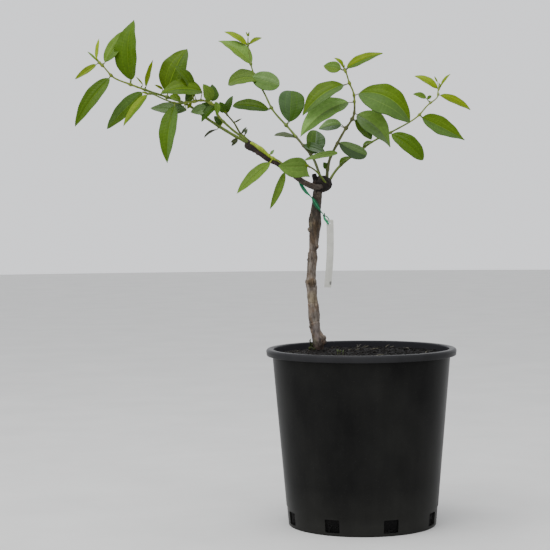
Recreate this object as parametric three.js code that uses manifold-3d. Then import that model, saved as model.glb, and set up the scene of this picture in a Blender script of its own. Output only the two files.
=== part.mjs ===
// A young jujube tree in a black nursery pot. Millimetres, +Z up, the origin at the middle of the pot's flat
// underside. The tree is a short trunk with a knobbly grafted head, one woody bough to the left and green
// shoots, each with its own leaves.

import * as THREE from 'three';
import { mergeVertices } from 'three/addons/utils/BufferGeometryUtils.js';
import Module from 'manifold-3d';

const wasm = await Module();
wasm.setup();

const clearance = 0.3;

// Pot
const potHeight = 232;
const rimRadius = 125;
const footRadius = 97.2;
const shoulderRadius = 117.6;
const wall = 2;
const floorThickness = 3;
const lipHeight = 9;
const lipRound = 2.2;
const lipHollow = 1;
const footBandHeight = 25;
const footBandStep = 0.7;
const bandSlope = 1;
const potSides = 48;
const holeCount = 8;
const holeWidth = 20;
const holeHeight = 17;
const holeAboveGround = 4;
const holeCorner = 2.5;
const firstHoleAngle = THREE.MathUtils.degToRad(-71 - 90);

// Soil
const soilLevel = 224;
const soilSlack = 0.5;

// The tree's places are given as they look from straight in front: across, up and back, with across and up
// measured in the plane through the pot's axis, and slid along the line of sight to the depth given by back.
const eye = { across: -112.5, up: 414, distance: 2160 };

// Trunk and graft head
const trunkRoute = [
  [-57, 222, 40], [-56, 243, 39], [-60, 262, 37], [-62.5, 295, 33], [-65, 325, 29],
  [-63.5, 350, 26], [-61, 375, 23], [-59.5, 404, 20], [-57, 425, 17.5], [-54, 446, 15],
];
const trunkFootRadius = 6.7;
const trunkTopRadius = 5.9;
const trunkSides = 10;
const trunkSteps = 26;
const trunkSwellings = [
  { up: 241, extra: 2, spread: 8 },
  { up: 318, extra: 1.1, spread: 5 },
  { up: 352, extra: 0.6, spread: 4 },
  { up: 397, extra: 1.6, spread: 13 },
];
const trunkKnobs = [
  { at: [-49, 247, 37], radius: 3.2 },
  { at: [-67.5, 260, 35], radius: 2.4 },
  { at: [-68.5, 348.5, 25], radius: 2.6 },
  { at: [-65.5, 389, 19], radius: 4.2 },
  { at: [-57.5, 364, 23], radius: 2.8 },
];
const trunkOutOfRound = { oval: 0.04, ovalTurn: 17, lobed: 0.03, lobedTurn: 9 };
const head = { at: [-49, 448, 15], half: [12.2, 11.2, 11.4] };
const headLumps = { across: 0.07, up: 0.06 };
const stub = { from: [-57, 448, 13], to: [-59.5, 461.5, 12], radius: 2.9, sides: 8 };

// Bough
const boughRoute = [
  [-49, 445, 5], [-56, 443.5, 4.5], [-63, 445, 2.5], [-75, 451, -1.5], [-92.5, 464, -6],
  [-107, 474.5, -9.5], [-119, 481, -12], [-131.5, 491.5, -15], [-140, 498, -17], [-149, 504.5, -19],
];
const boughRadii = [3.9, 3.9, 3.8, 3.6, 3.5, 3.6, 4.1, 5.2, 5.4, 4.2];
const boughSides = 8;
const boughSteps = 16;
const boughEnd = { narrowed: 0.55, over: 1 / 16 };

// Stems of the shoots
const stemRingGap = 14;
const fewestRings = 6;
const stemSides = 6;
const stopsPerRing = 5;

// Leaves
const ribThickness = 0.024;
const thinnestRib = 0.9;
const longShares = [0, 0.04, 0.15, 0.34, 0.55, 0.76, 0.91, 1];
const shortShares = [0, 0.12, 0.4, 0.75, 1];
const bladeFold = THREE.MathUtils.degToRad(16);
const stalk = { radius: 0.75, least: 0.2, ofWidth: 0.2, atFoot: 0.8 };
const tipThinning = 0.7;
const longLeaf = 28;
const footDepth = 0.25;
const nearlyUpright = 0.25;
const probes = { shares: [0.1, 0.3, 0.5, 0.7, 0.95], edges: [-1, 0, 1] };

// The outline swells from the foot and closes to the tip by these powers. A low tip power makes a blunt
// leaf.
const footPower = 0.62;
const usualTipPower = 0.92;

// Smaller leaves on the far side, each hidden behind a broad one by a seeded rule
const far = {
  seed: 7, chance: 0.85, fromWidth: 15, room: 4.5, footShare: 0.12, footBehind: 5, bow: 0.04,
  tipShare: { least: 0.5, spread: 0.2 },
  tipBehind: { least: 28, spread: 18 },
  narrow: { least: 0.42, spread: 0.1 },
  roll: { least: 150, spread: 30 },
};

// Each shoot: its route, its radius at the start and the tip, and its leaves. A leaf row holds the blade's
// foot (across, up), how far the tip lies from it (across, up, back), the width, the roll in degrees that
// turns the upper side from the viewer towards the sky, and the bow of the midrib over its length. Some end
// with a tip power of their own.
const shoots = {
  left_leader: {
    color: 0x6f9a28,
    route: [
      [-147, 502.5, -17.5], [-158, 508.5, -17], [-166, 513, -17], [-196, 532, -17], [-227, 554, -20],
      [-249, 562, -26], [-270, 569, -33], [-300, 580, -42], [-321, 589, -49], [-334, 603, -54],
      [-342, 611, -57],
    ],
    radii: [1.9, 0.8],
    leaves: [
      [-298, 586, 3, 78, 0, 36, -36, 0.13],
      [-332, 609, 31, 44, 34, 19, 20, 0.03],
      [-343, 613, 3, 27, 3, 7, -50, 0.01],
      [-344, 612, -11, 11, 4, 3.5, 30, 0.05],
      [-344, 606, -28, -19, -6, 9, 30, 0.02],
      [-327, 588, -46, -62, -12, 22, 26, 0.09],
      [-279, 577, 9, 35, -5, 11, -55, -0.01],
      [-283, 579, -9, 11, 3, 2.4, 20, 0.04],
      [-257, 573, -11, 6, -4, 4, 30, 0.05],
      [-251, 569, 26, 57, 8, 37.5, 32, 0.09],
      [-187, 520, -17, -10, -8, 8, 66, 0.05],
      [-160, 507, -9, -4, -3, 5, 10, 0.05],
      [-160, 507, -8, -9, -3, 5, 10, 0.05],
    ],
  },
  left_middle: {
    color: 0x5f8c2a,
    route: [
      [-147, 503.2, -21.8], [-156, 511.5, -26], [-167, 520, -31], [-184, 537, -36], [-193, 553, -40],
      [-205, 558, -42], [-222, 556, -44], [-240, 555, -45], [-253, 559, -47], [-271, 567, -51],
      [-277, 568, -53],
    ],
    radii: [1.5, 0.8],
    leaves: [
      [-284, 569, -48, -47, 20, 22, 28, 0.02],
      [-278, 566, -32, -40, -16, 14, 42, 0.02],
      [-219, 572, -22, 32, -6, 18, 35, 0.12],
      [-206, 570, -54, -2, -14, 29, 40, 0.14],
      [-227, 545, -47, 4, 22, 18, 30, 0.03],
      [-242, 551, -11, -74, -14, 25, -28, 0.09],
      [-216, 567, -12, -10, 12, 13, 20, 0.08],
      [-195, 557.5, -9, 22, -10, 17, 26, 0.08],
      [-193, 557, 1, 22, 12, 16, 36, 0.08],
      [-199, 547, -22, -4, -4, 15, 20, 0.05],
      [-187, 552, -20, -22, -10, 14, 40, 0.08],
      [-182, 525, -8, 13, 8, 9, 20, 0.08],
      [-187, 556, 0, -18, -13, 9, 25, 0.05],
      [-195.5, 547.5, -11, 7, 8, 9, 20, 0.05],
      [-234, 558, -14, 7, 10, 10, 20, 0.06],
      [-219.5, 554.5, -6, -7, 4, 5, 20, 0.05],
    ],
  },
  left_short: {
    color: 0x44702c,
    route: [[-144, 504, -14.5], [-151, 510, -14.5], [-157, 516, -16], [-164, 528, -15.5], [-175, 541, -14]],
    radii: [1.4, 0.8],
    leaves: [
      [-173, 542, 7, 22, 6, 11, 32, 0.08],
      [-177, 542, -6, 14, -4, 12, 20, 0.08],
      [-163, 529, 9, 5, -3, 2.6, 20, 0.04],
      [-154, 515, 6, 8, -3, 3.5, 10, 0.05],
      [-150, 513, 3, 8, 2, 3.5, 10, 0.05],
    ],
  },
  bough_shoot: {
    color: 0x9aa832,
    route: [
      [-143, 504, -22], [-137.5, 501, -21.5], [-128.5, 495, -19.5], [-117, 484, -16],
      [-105, 477, -14], [-97, 470, -12.5],
    ],
    radii: [1.9, 1.2],
    leaves: [
      [-118, 476, -44, -40, -10, 18, 32, 0.03],
      [-99, 463, -19, -48, -8, 11, -20, 0.02],
      [-117, 487, 5, 6, -3, 4, 10, 0.05],
    ],
  },
  front_twig: {
    color: 0x6a9a30,
    route: [[-45, 449, 6], [-54, 461, -3], [-62, 468, -11], [-68, 471, -17]],
    radii: [1.3, 0.9],
    leaves: [
      [-69, 471, -38, 0, -10, 28, -16, 0.06],
      [-72, 479, 43, 9, -6, 12, 50, 0.02, 0.45],
    ],
  },
  upper_left: {
    color: 0x4f7f33,
    route: [
      [-51, 454, 17], [-61, 481, 29], [-74, 498, 38], [-92, 520, 50], [-113, 544, 62],
      [-124, 566, 70], [-136, 588, 77], [-141, 602, 80], [-145, 630, 86], [-145, 641, 88],
    ],
    radii: [1.7, 0.7],
    leaves: [
      [-147, 630, -29, 18, 6, 11, 42, 0.08],
      [-143, 631, 16, 8, -4, 8, 48, 0.08],
      [-141, 606, -42.5, 30, 10, 26.5, 44, 0.11, 1.1],
      [-130, 585, -42, -5.5, 10, 27, 42, 0.16, 0.55],
      [-140, 587.5, 35.5, -11, -10, 27, 10, 0.04, 0.5],
      [-119, 545, -47, 6, 14, 19, 32, 0.1, 0.6],
      [-92, 529, 3, 41, 16, 37, 8, 0.08, 0.45],
      [-84, 508, -28, 4, 8, 10, 54, 0.08],
      [-62, 487, 5, 31, 12, 28, 16, 0.08, 0.6],
    ],
  },
  centre_leader: {
    color: 0x5b9130,
    route: [
      [-43.5, 453, 13], [-42, 469, 8], [-39, 481, 4], [-29, 501, -3], [-20, 517, -9], [-8, 536, -16],
      [-6.5, 553, -21], [-8, 567, -26], [-13, 579, -30], [-17, 592, -34], [-20, 598, -36],
    ],
    radii: [1.9, 0.8],
    leaves: [
      [-16, 599, 47, 19, -8, 16, 36, 0.07],
      [-24, 598, -23, 4, 8, 16, 15, -0.04],
      [-21, 601, -12, 11, -2, 7, 46, 0.12],
      [-21, 577, -54, -39, -10, 30, 40, 0.14],
      [-15, 554, -63, -44, -16, 36, 40, 0.15],
      [-24, 525, -30, -5, 8, 18, 30, 0.08],
      [-1, 565, 67, -36, -10, 44, 32, 0.2, 0.7],
      [-3, 538, 43, -43, 4, 34, 28, 0.21, 1.3],
      [-6, 531, 22, -26, 10, 19, 28, 0.08],
      [-27, 501, 36, -17, -2, 20, -15, 0.08, 0.7],
      [-43, 468, -5, 8, -5, 8, 10, 0.05],
    ],
  },
  right_leader: {
    color: 0x6b9c2c,
    route: [
      [-40, 452, 18], [-33, 463, 23], [-26, 471, 26], [-11, 483, 30], [18, 503, 36], [44, 516, 40],
      [75, 534, 44], [89, 549, 46], [102, 560, 48], [103, 568, 49.5], [105, 573, 51],
    ],
    radii: [1.6, 0.7],
    leaves: [
      [-27, 474, 14, 9, -4, 9, 48, 0.08],
      [4, 497, 13, 6, -4, 8, 58, 0.08],
      [42, 512, 41, -34, -8, 26, 28, 0.12],
      [82, 533, 56, -29, 8, 27, 32, 0.02, 1.15],
      [106, 562, 40, -19, 4, 13, 38, 0.06],
      [102, 571, -30, 17, 6, 12, 38, 0.1],
      [107, 575, 12, 15, -4, 6, 50, 0.05],
      [102, 579, -4, 8, 2, 2.4, 10, 0.05],
      [87, 559, -17, 5, -6, 9, 32, 0.08],
      [89, 557, 5, 5, 3, 5, 20, 0.05],
    ],
  },
};

// Tie and blank tag
const tieRadius = 0.9;
const tieOffBark = 0.7;
const tieSides = 5;
const tieTurnSteps = 14;
const tieKnot = { at: [-46, 408, 12], size: 2, rise: 2, open: 1 };
const tieTop = 430;
const tagLoop = { radius: 0.68, left: 0.6, reach: 2.6, rise: 1.4, through: 0.5 };
const tieTail = [[-70, 436, 5], [-75, 444, 4], [-77, 449, 4]];
const tagWidth = 9;
const tagLength = 89;
const tagThickness = 0.8;
const tagCorner = 1.2;
const tagHole = { radius: 1.7, below: 4 };
const tagTop = [-38.6, 399, 12];
const tagLean = THREE.MathUtils.degToRad(2);

function seen([across, up, back]) {
  const stretch = (eye.distance + back) / eye.distance;
  return new THREE.Vector3(
    eye.across + (across - eye.across) * stretch,
    back,
    eye.up + (up - eye.up) * stretch,
  );
}

function pictured(place) {
  const stretch = (eye.distance + place.y) / eye.distance;
  return {
    across: eye.across + (place.x - eye.across) / stretch,
    up: eye.up + (place.z - eye.up) / stretch,
    back: place.y,
  };
}

function toSolid(geometry) {
  geometry.deleteAttribute('normal');
  geometry.deleteAttribute('uv');
  const merged = mergeVertices(geometry);
  const solid = new wasm.Mesh({
    numProp: 3,
    vertProperties: merged.attributes.position.array,
    triVerts: new Uint32Array(merged.index.array),
  });
  return new wasm.Manifold(solid);
}

function toGeometry(solid) {
  const mesh = solid.getMesh();
  const geometry = new THREE.BufferGeometry();
  geometry.setAttribute('position', new THREE.BufferAttribute(mesh.vertProperties, 3));
  geometry.setIndex(new THREE.BufferAttribute(mesh.triVerts, 1));
  geometry.computeVertexNormals();
  return geometry;
}

function reshape(geometry, move) {
  const place = geometry.attributes.position;
  const point = new THREE.Vector3();
  for (let i = 0; i < place.count; i += 1) {
    point.fromBufferAttribute(place, i);
    place.setXYZ(i, ...move(point).toArray());
  }
  return geometry;
}

const joined = (solids) => solids.reduce((whole, solid) => whole.add(solid));

// What is left of a piece cut by its neighbour, without the scraps on the far side of the cut.
function mainBody(solid) {
  return solid.decompose().reduce((best, body) => (body.volume() > best.volume() ? body : best));
}

function curveThrough(route) {
  return new THREE.CatmullRomCurve3(route.map(seen), false, 'centripetal');
}

// A round limb along a curve: radiusAt gives the radius for a share of the length and an angle.
function limb(curve, radiusAt, sides, steps) {
  const frames = curve.computeFrenetFrames(steps);
  const shape = new THREE.CylinderGeometry(1, 1, 1, sides, steps);
  return toSolid(reshape(shape, (point) => {
    const step = Math.round((point.y + 0.5) * steps);
    const reach = Math.hypot(point.x, point.z);
    const radius = reach * radiusAt(step / steps, Math.atan2(point.z, point.x));
    const turn = reach > 0.5 ? radius / reach : 0;
    return curve.getPointAt(step / steps)
      .addScaledVector(frames.normals[step], point.x * turn)
      .addScaledVector(frames.binormals[step], -point.z * turn);
  }));
}

function ball(centre, half, lumps) {
  const shape = lumps ? new THREE.IcosahedronGeometry(1, 3) : new THREE.SphereGeometry(1, 6, 4);
  return toSolid(reshape(shape, (point) => {
    const lump = lumps
      ? 1 + headLumps.across * Math.sin(5 * point.x + 2) * Math.cos(4 * point.y)
        + headLumps.up * Math.sin(7 * point.z)
      : 1;
    return new THREE.Vector3(point.x * half[0], point.y * half[2], point.z * half[1])
      .multiplyScalar(lump)
      .add(centre);
  }));
}

const rowOf = (values) => (share) => {
  const place = Math.min(share, 0.9999) * (values.length - 1);
  const low = Math.floor(place);
  return THREE.MathUtils.lerp(values[low], values[low + 1], place - low);
};

// Pot: a turned shell with a rolled lip, and drain holes round its foot.
function potWallRadius(height) {
  const full = THREE.MathUtils.lerp(footRadius + footBandStep, shoulderRadius, height / potHeight);
  return height < footBandHeight ? full - footBandStep : full;
}

const innerRadius = (height) => potWallRadius(height) - wall;

function potSolid() {
  const lipFoot = potHeight - lipHeight;
  const profile = [
    [0, 0],
    [footRadius, 0],
    [potWallRadius(footBandHeight - bandSlope), footBandHeight - bandSlope],
    [potWallRadius(footBandHeight + bandSlope), footBandHeight + bandSlope],
    [potWallRadius(lipFoot + lipHollow), lipFoot + lipHollow],
    [rimRadius - wall, lipFoot + lipHollow],
    [rimRadius - wall, lipFoot],
    [rimRadius - lipRound / 4, lipFoot],
    [rimRadius, potHeight - lipRound],
    [rimRadius - lipRound / 3, potHeight - lipRound / 3],
    [rimRadius - lipRound, potHeight],
    [innerRadius(potHeight) + lipHollow, potHeight],
    [innerRadius(footBandHeight), footBandHeight],
    [innerRadius(floorThickness), floorThickness],
    [0, floorThickness],
  ];
  const turned = new THREE.LatheGeometry(profile.map(([r, z]) => new THREE.Vector2(r, z)), potSides);
  turned.rotateX(Math.PI / 2);
  let pot = toSolid(turned);
  for (let i = 0; i < holeCount; i += 1) {
    pot = pot.subtract(drainHole(firstHoleAngle + (i * 2 * Math.PI) / holeCount));
  }
  return pot;
}

function drainHole(angle) {
  const outline = new THREE.Shape();
  const half = holeWidth / 2;
  const turns = [
    [half - holeCorner, holeCorner, -Math.PI / 2],
    [half - holeCorner, holeHeight - holeCorner, 0],
    [-half + holeCorner, holeHeight - holeCorner, Math.PI / 2],
    [-half + holeCorner, holeCorner, Math.PI],
  ];
  for (const [x, y, from] of turns) {
    outline.absarc(x, y, holeCorner, from, from + Math.PI / 2);
  }
  const depth = 4 * wall;
  const cutter = new THREE.ExtrudeGeometry(outline, { depth, bevelEnabled: false, curveSegments: 2 });
  cutter.rotateX(Math.PI / 2);
  cutter.translate(0, depth / 2 - footRadius, holeAboveGround);
  cutter.rotateZ(angle + Math.PI / 2);
  return toSolid(cutter);
}

function soilSolid() {
  const reach = (height) => innerRadius(height) - clearance;
  const bottom = floorThickness + clearance;
  const profile = [
    [0, bottom],
    [reach(0) - soilSlack, bottom],
    [reach(footBandHeight) - soilSlack, footBandHeight],
    [reach(soilLevel), soilLevel],
    [0, soilLevel],
  ];
  const turned = new THREE.LatheGeometry(profile.map(([r, z]) => new THREE.Vector2(r, z)), potSides);
  turned.rotateX(Math.PI / 2);
  return toSolid(turned);
}

// Trunk: a tapering stem with swollen nodes and a root flare, cut flat at the soil, under the graft head.
const trunkCurve = curveThrough(trunkRoute);

function trunkRadius(share, angle) {
  const height = trunkCurve.getPointAt(share).z;
  let radius = THREE.MathUtils.lerp(trunkFootRadius, trunkTopRadius, share);
  for (const { up, extra, spread } of trunkSwellings) {
    radius += extra * Math.exp(-(((height - up) / spread) ** 2));
  }
  const { oval, ovalTurn, lobed, lobedTurn } = trunkOutOfRound;
  return radius * (1 + oval * Math.sin(2 * angle + height / ovalTurn)
    + lobed * Math.sin(3 * angle + height / lobedTurn));
}

function trunkSolid(extra = 0) {
  const grown = head.half.map((size) => size + extra);
  const stubCurve = new THREE.LineCurve3(seen(stub.from), seen(stub.to));
  const pieces = [
    limb(trunkCurve, (share, angle) => trunkRadius(share, angle) + extra, trunkSides, trunkSteps),
    ball(seen(head.at), grown, true),
    limb(stubCurve, () => stub.radius + extra, stub.sides, 1),
  ];
  for (const { at, radius } of trunkKnobs) {
    const size = radius + extra;
    pieces.push(ball(seen(at), [size, size, size], false));
  }
  return joined(pieces);
}

function aboveSoil(solid) {
  const depth = 40;
  const slab = new THREE.BoxGeometry(2 * rimRadius, 2 * rimRadius, depth);
  slab.translate(0, 0, soilLevel + clearance - depth / 2);
  return solid.subtract(toSolid(slab));
}

const boughCurve = curveThrough(boughRoute);
const boughRadius = rowOf(boughRadii);

function boughSolid(extra = 0) {
  const rounded = (share) => {
    const fromEnd = Math.min(1, Math.min(share, 1 - share) / boughEnd.over);
    return boughRadius(share) * THREE.MathUtils.lerp(boughEnd.narrowed, 1, fromEnd) + extra;
  };
  return limb(boughCurve, rounded, boughSides, boughSteps);
}

// Leaves. The outline is a share of the half width, widest at about two fifths of the length.
function outlineAt(share, tipPower) {
  const widest = footPower / (footPower + tipPower);
  const most = widest ** footPower * (1 - widest) ** tipPower;
  return Math.max(0.05, (share ** footPower * (1 - share) ** tipPower) / most);
}

function leafPlan(stem, row) {
  const [footAcross, footUp, tipAcross, tipUp, tipBack, width, roll, bow, tipPower] = row;
  const nearest = stem.stops.reduce((best, stop) => {
    const near = Math.hypot(stop.across - footAcross, stop.up - footUp);
    return near < best.near ? { near, stop } : best;
  }, { near: Infinity, stop: null });
  const footBack = nearest.stop.back + footDepth * nearest.near * Math.sign(tipBack);
  const foot = seen([footAcross, footUp, footBack]);
  const tip = seen([footAcross + tipAcross, footUp + tipUp, footBack + tipBack]);
  return leafBetween(nearest.stop.place, foot, tip, width, roll, bow, tipPower);
}

function leafBetween(root, foot, tip, width, roll, bow, tipPower = usualTipPower) {
  const axis = tip.clone().sub(foot).normalize();
  const viewer = seen([eye.across, eye.up, -eye.distance]).sub(foot);
  viewer.addScaledVector(axis, -viewer.dot(axis)).normalize();
  const skyward = new THREE.Vector3().crossVectors(viewer, axis);
  const turned = Math.abs(skyward.z) > nearlyUpright ? skyward.z : skyward.x;
  skyward.multiplyScalar(Math.sign(turned));
  const angle = THREE.MathUtils.degToRad(roll);
  const face = viewer.multiplyScalar(Math.cos(angle)).addScaledVector(skyward, Math.sin(angle));
  const side = new THREE.Vector3().crossVectors(axis, face);
  return { root, foot, tip, axis, face, side, width, bow, tipPower, length: foot.distanceTo(tip) };
}

// A point of the blade: edge runs from -1 to 1 across it and share from 0 to 1 along it.
function bladePoint(plan, edge, share, lift) {
  const half = (plan.width / 2) * outlineAt(share, plan.tipPower);
  const rise = plan.length * plan.bow * 4 * share * (1 - share);
  return plan.foot.clone()
    .addScaledVector(plan.axis, plan.length * share)
    .addScaledVector(plan.side, edge * half * Math.cos(bladeFold))
    .addScaledVector(plan.face, rise + Math.abs(edge) * half * Math.sin(bladeFold) + lift);
}

// Stalk and blade in one: four-sided all along, thickest at the midrib and sharp at the margin.
function leafSolid(plan) {
  const shares = plan.length > longLeaf ? longShares : shortShares;
  const rib = Math.max(thinnestRib, ribThickness * plan.length);
  const stalkRadius = Math.min(stalk.radius, plan.width * stalk.ofWidth + stalk.least);
  const shape = new THREE.CylinderGeometry(1, 1, 1, 4, shares.length);
  return toSolid(reshape(shape, (point) => {
    const step = Math.round((point.y + 0.5) * shares.length);
    if (step === 0) {
      return plan.root.clone()
        .addScaledVector(plan.side, point.x * stalkRadius)
        .addScaledVector(plan.face, point.z * stalkRadius);
    }
    const share = shares[step - 1];
    const lift = (point.z * rib * (1 - tipThinning * share)) / 2;
    const rounded = bladePoint(plan, point.x, share, lift);
    return share > 0 ? rounded : plan.foot.clone()
      .addScaledVector(plan.side, point.x * stalkRadius * stalk.atFoot)
      .addScaledVector(plan.face, point.z * stalkRadius * stalk.atFoot);
  }));
}

function leafPoints(plan) {
  const points = [];
  for (const share of probes.shares) {
    for (const edge of probes.edges) {
      points.push(bladePoint(plan, edge, share, 0));
    }
  }
  return points;
}

// A smaller leaf from the same node, behind a broad one: it leans away from the viewer under that one's
// midrib.
function farLeaf(plan, random) {
  const within = ({ least, spread }) => least + spread * random();
  const behind = (share, depth) => {
    const place = pictured(bladePoint(plan, 0, share, 0));
    return seen([place.across, place.up, place.back + depth]);
  };
  const foot = behind(far.footShare, far.footBehind);
  const tip = behind(within(far.tipShare), within(far.tipBehind));
  const width = plan.width * within(far.narrow);
  return leafBetween(plan.root, foot, tip, width, within(far.roll), far.bow);
}

function randomFrom(seed) {
  let state = seed;
  return () => {
    state = (state * 16807) % 2147483647;
    return state / 2147483647;
  };
}

// A stem's curve, its number of rings, and the places along it where a leaf may root.
function stemOf(shoot) {
  const curve = curveThrough(shoot.route);
  const rings = Math.max(fewestRings, Math.round(curve.getLength() / stemRingGap));
  const stops = [];
  for (let i = 0; i < rings * stopsPerRing; i += 1) {
    const ring = Math.floor(i / stopsPerRing);
    const ahead = (i % stopsPerRing) / stopsPerRing;
    const place = curve.getPointAt(ring / rings).lerp(curve.getPointAt((ring + 1) / rings), ahead);
    stops.push({ ...pictured(place), place });
  }
  return { curve, rings, stops };
}

// First every leaf that is set by hand, then the far ones, each skipped where it lacks room.
function planShoots() {
  const plans = Object.entries(shoots).map(([name, shoot]) => {
    const stem = stemOf(shoot);
    return { name, shoot, stem, leaves: shoot.leaves.map((row) => leafPlan(stem, row)) };
  });
  const random = randomFrom(far.seed);
  const limbs = [...trunkCurve.getSpacedPoints(trunkSteps), ...boughCurve.getSpacedPoints(boughSteps)];
  for (const plan of plans) {
    const otherStems = plans.filter((other) => other !== plan)
      .flatMap((other) => other.stem.stops.map((stop) => stop.place));
    const broad = plan.leaves.filter((leaf) => leaf.width >= far.fromWidth);
    for (const leaf of broad) {
      const chance = random();
      const extra = farLeaf(leaf, random);
      const others = plans.flatMap((other) => other.leaves)
        .filter((other) => other !== leaf)
        .flatMap(leafPoints);
      const clear = leafPoints(extra).every((point) => (
        [...limbs, ...otherStems, ...others].every((other) => point.distanceTo(other) > far.room)
      ));
      if (chance < far.chance && clear) {
        plan.leaves.push(extra);
      }
    }
  }
  return plans;
}

function shootSolid({ shoot, stem, leaves }) {
  const [start, end] = shoot.radii;
  const stick = limb(stem.curve, (share) => THREE.MathUtils.lerp(start, end, share), stemSides, stem.rings);
  return joined([stick, ...leaves.map(leafSolid)]);
}

// Tie: a wire round the trunk, twisted to a knot on its right, with a loop for the tag and a free tail.
function tieSolid() {
  const turn = [];
  const knot = seen(tieKnot.at);
  const knotEnd = knot.clone().setY(knot.y + tieKnot.open);
  for (let i = 1; i < tieTurnSteps; i += 1) {
    const angle = (i / tieTurnSteps) * 2 * Math.PI;
    const height = THREE.MathUtils.lerp(knot.z + tieKnot.rise, tieTop, (1 - Math.cos(angle)) / 2);
    const share = trunkShareAt(height);
    const reach = trunkRadius(share, 0) + tieRadius + tieOffBark;
    const centre = trunkCurve.getPointAt(share);
    const offset = new THREE.Vector3(reach * Math.cos(angle), -reach * Math.sin(angle), 0);
    turn.push(centre.clone().add(offset).setZ(height));
  }
  const ring = new THREE.CatmullRomCurve3([knot, ...turn, knotEnd]);
  const beside = (x, y, z) => tagHolePlace().add(new THREE.Vector3(x, y, z));
  const loop = new THREE.CatmullRomCurve3([
    knot,
    beside(-tagLoop.left, -tagLoop.reach, tagLoop.rise),
    beside(0, 0, tagLoop.through),
    beside(-tagLoop.left, tagLoop.reach, tagLoop.rise),
    knotEnd,
  ]);
  const tail = new THREE.CatmullRomCurve3([turn[tieTurnSteps / 2 - 1], ...tieTail.map(seen)]);
  const size = tieKnot.size;
  return joined([
    limb(ring, () => tieRadius, tieSides, 22),
    limb(loop, () => tagLoop.radius, tieSides, 10),
    limb(tail, () => tieRadius, tieSides, 5),
    ball(knot, [size, size, size], false),
  ]);
}

function trunkShareAt(height) {
  let low = 0;
  let high = 1;
  for (let i = 0; i < 20; i += 1) {
    const middle = (low + high) / 2;
    if (trunkCurve.getPointAt(middle).z < height) {
      low = middle;
    } else {
      high = middle;
    }
  }
  return low;
}

function tagHolePlace() {
  return new THREE.Vector3(0, 0, -tagHole.below).applyAxisAngle(new THREE.Vector3(0, 1, 0), tagLean)
    .add(seen(tagTop));
}

function tagSolid() {
  const outline = new THREE.Shape();
  const half = tagWidth / 2;
  outline.moveTo(-half, -tagLength);
  outline.lineTo(half, -tagLength);
  outline.lineTo(half, -tagCorner);
  outline.absarc(half - tagCorner, -tagCorner, tagCorner, 0, Math.PI / 2);
  outline.absarc(-half + tagCorner, -tagCorner, tagCorner, Math.PI / 2, Math.PI);
  const hole = new THREE.Path();
  hole.absarc(0, -tagHole.below, tagHole.radius, 0, 2 * Math.PI, true);
  outline.holes.push(hole);
  const strip = new THREE.ExtrudeGeometry(outline, {
    depth: tagThickness,
    bevelEnabled: false,
    curveSegments: 5,
  });
  strip.translate(0, 0, -tagThickness / 2);
  strip.rotateX(Math.PI / 2);
  strip.rotateY(tagLean);
  strip.translate(...seen(tagTop).toArray());
  return toSolid(strip);
}

function finish(color, roughness) {
  return new THREE.MeshStandardMaterial({ color, roughness, metalness: 0 });
}

const group = new THREE.Group();

function addPiece(name, solid, material) {
  const mesh = new THREE.Mesh(toGeometry(solid), material);
  mesh.name = name;
  group.add(mesh);
}

const grownTrunk = trunkSolid(clearance);
const grownBough = boughSolid(clearance);

addPiece('pot', potSolid(), finish(0x1b1c1d, 0.45));
addPiece('soil', soilSolid(), finish(0x2a2320, 0.95));
addPiece('trunk', aboveSoil(trunkSolid()).subtract(grownBough), finish(0x6a5c50, 0.85));
addPiece('bough_left', boughSolid(), finish(0x3c2f2a, 0.85));
for (const plan of planShoots()) {
  const solid = mainBody(shootSolid(plan).subtract(grownTrunk).subtract(grownBough));
  addPiece(plan.name, solid, finish(plan.shoot.color, 0.5));
}
addPiece('tie', tieSolid().subtract(grownTrunk), finish(0x1f7a4a, 0.6));
addPiece('tag', tagSolid(), finish(0xc4c6be, 0.7));

export default group;
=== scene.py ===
"""A young jujube tree in a black nursery pot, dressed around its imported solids.

The tables and the shapes are worked out in millimetres, and every mesh is made in metres.
"""

import math
import random

import bmesh
import bpy
import numpy as np
from mathutils import Matrix, Vector, noise


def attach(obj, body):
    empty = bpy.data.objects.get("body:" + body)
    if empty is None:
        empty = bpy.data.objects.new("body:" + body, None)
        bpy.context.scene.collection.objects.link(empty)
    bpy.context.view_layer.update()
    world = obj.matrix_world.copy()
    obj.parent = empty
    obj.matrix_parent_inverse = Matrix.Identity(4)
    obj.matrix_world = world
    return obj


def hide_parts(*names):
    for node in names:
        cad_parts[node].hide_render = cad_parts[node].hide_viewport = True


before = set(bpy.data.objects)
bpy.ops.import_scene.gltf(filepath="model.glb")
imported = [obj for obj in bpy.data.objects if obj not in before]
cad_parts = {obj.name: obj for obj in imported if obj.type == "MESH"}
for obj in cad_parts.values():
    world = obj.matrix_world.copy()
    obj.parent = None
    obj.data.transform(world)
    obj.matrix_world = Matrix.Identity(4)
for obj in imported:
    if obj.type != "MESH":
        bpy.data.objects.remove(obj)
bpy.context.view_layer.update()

MM = 0.001

# The tree's places are given as they look from straight in front: across, up and back, with across and up
# measured in the plane through the pot's axis, and slid along the line of sight to the depth given by back.
eye = {"across": -112.5, "up": 414, "distance": 2160}
picture_width = 550
focal_pixels = 1646
sensor_width = 36
camera_pitch = math.radians(2.26)
camera_roll = math.radians(0.5)

# Pot
pot_height = 232
rim_radius = 125
foot_radius = 97.2
shoulder_radius = 117.6
wall = 2
floor_thickness = 3
lip_height = 9
foot_band_height = 25
foot_band_step = 0.7
pot_sides = 192
centre_radius = 20
hole_count = 8
hole_width = 20
hole_height = 17
hole_above_ground = 4
hole_corner = 1.6
first_hole_angle = math.radians(-71 - 90)

# Soil
soil_level = 224
clearance = 0.3
mound_height = 3.5
mound_radius = 17
soil_sides = 180
crumb_count, foot_crumb_count, hole_crumb_count = 1500, 150, 26
ground_seed = 5
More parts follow.
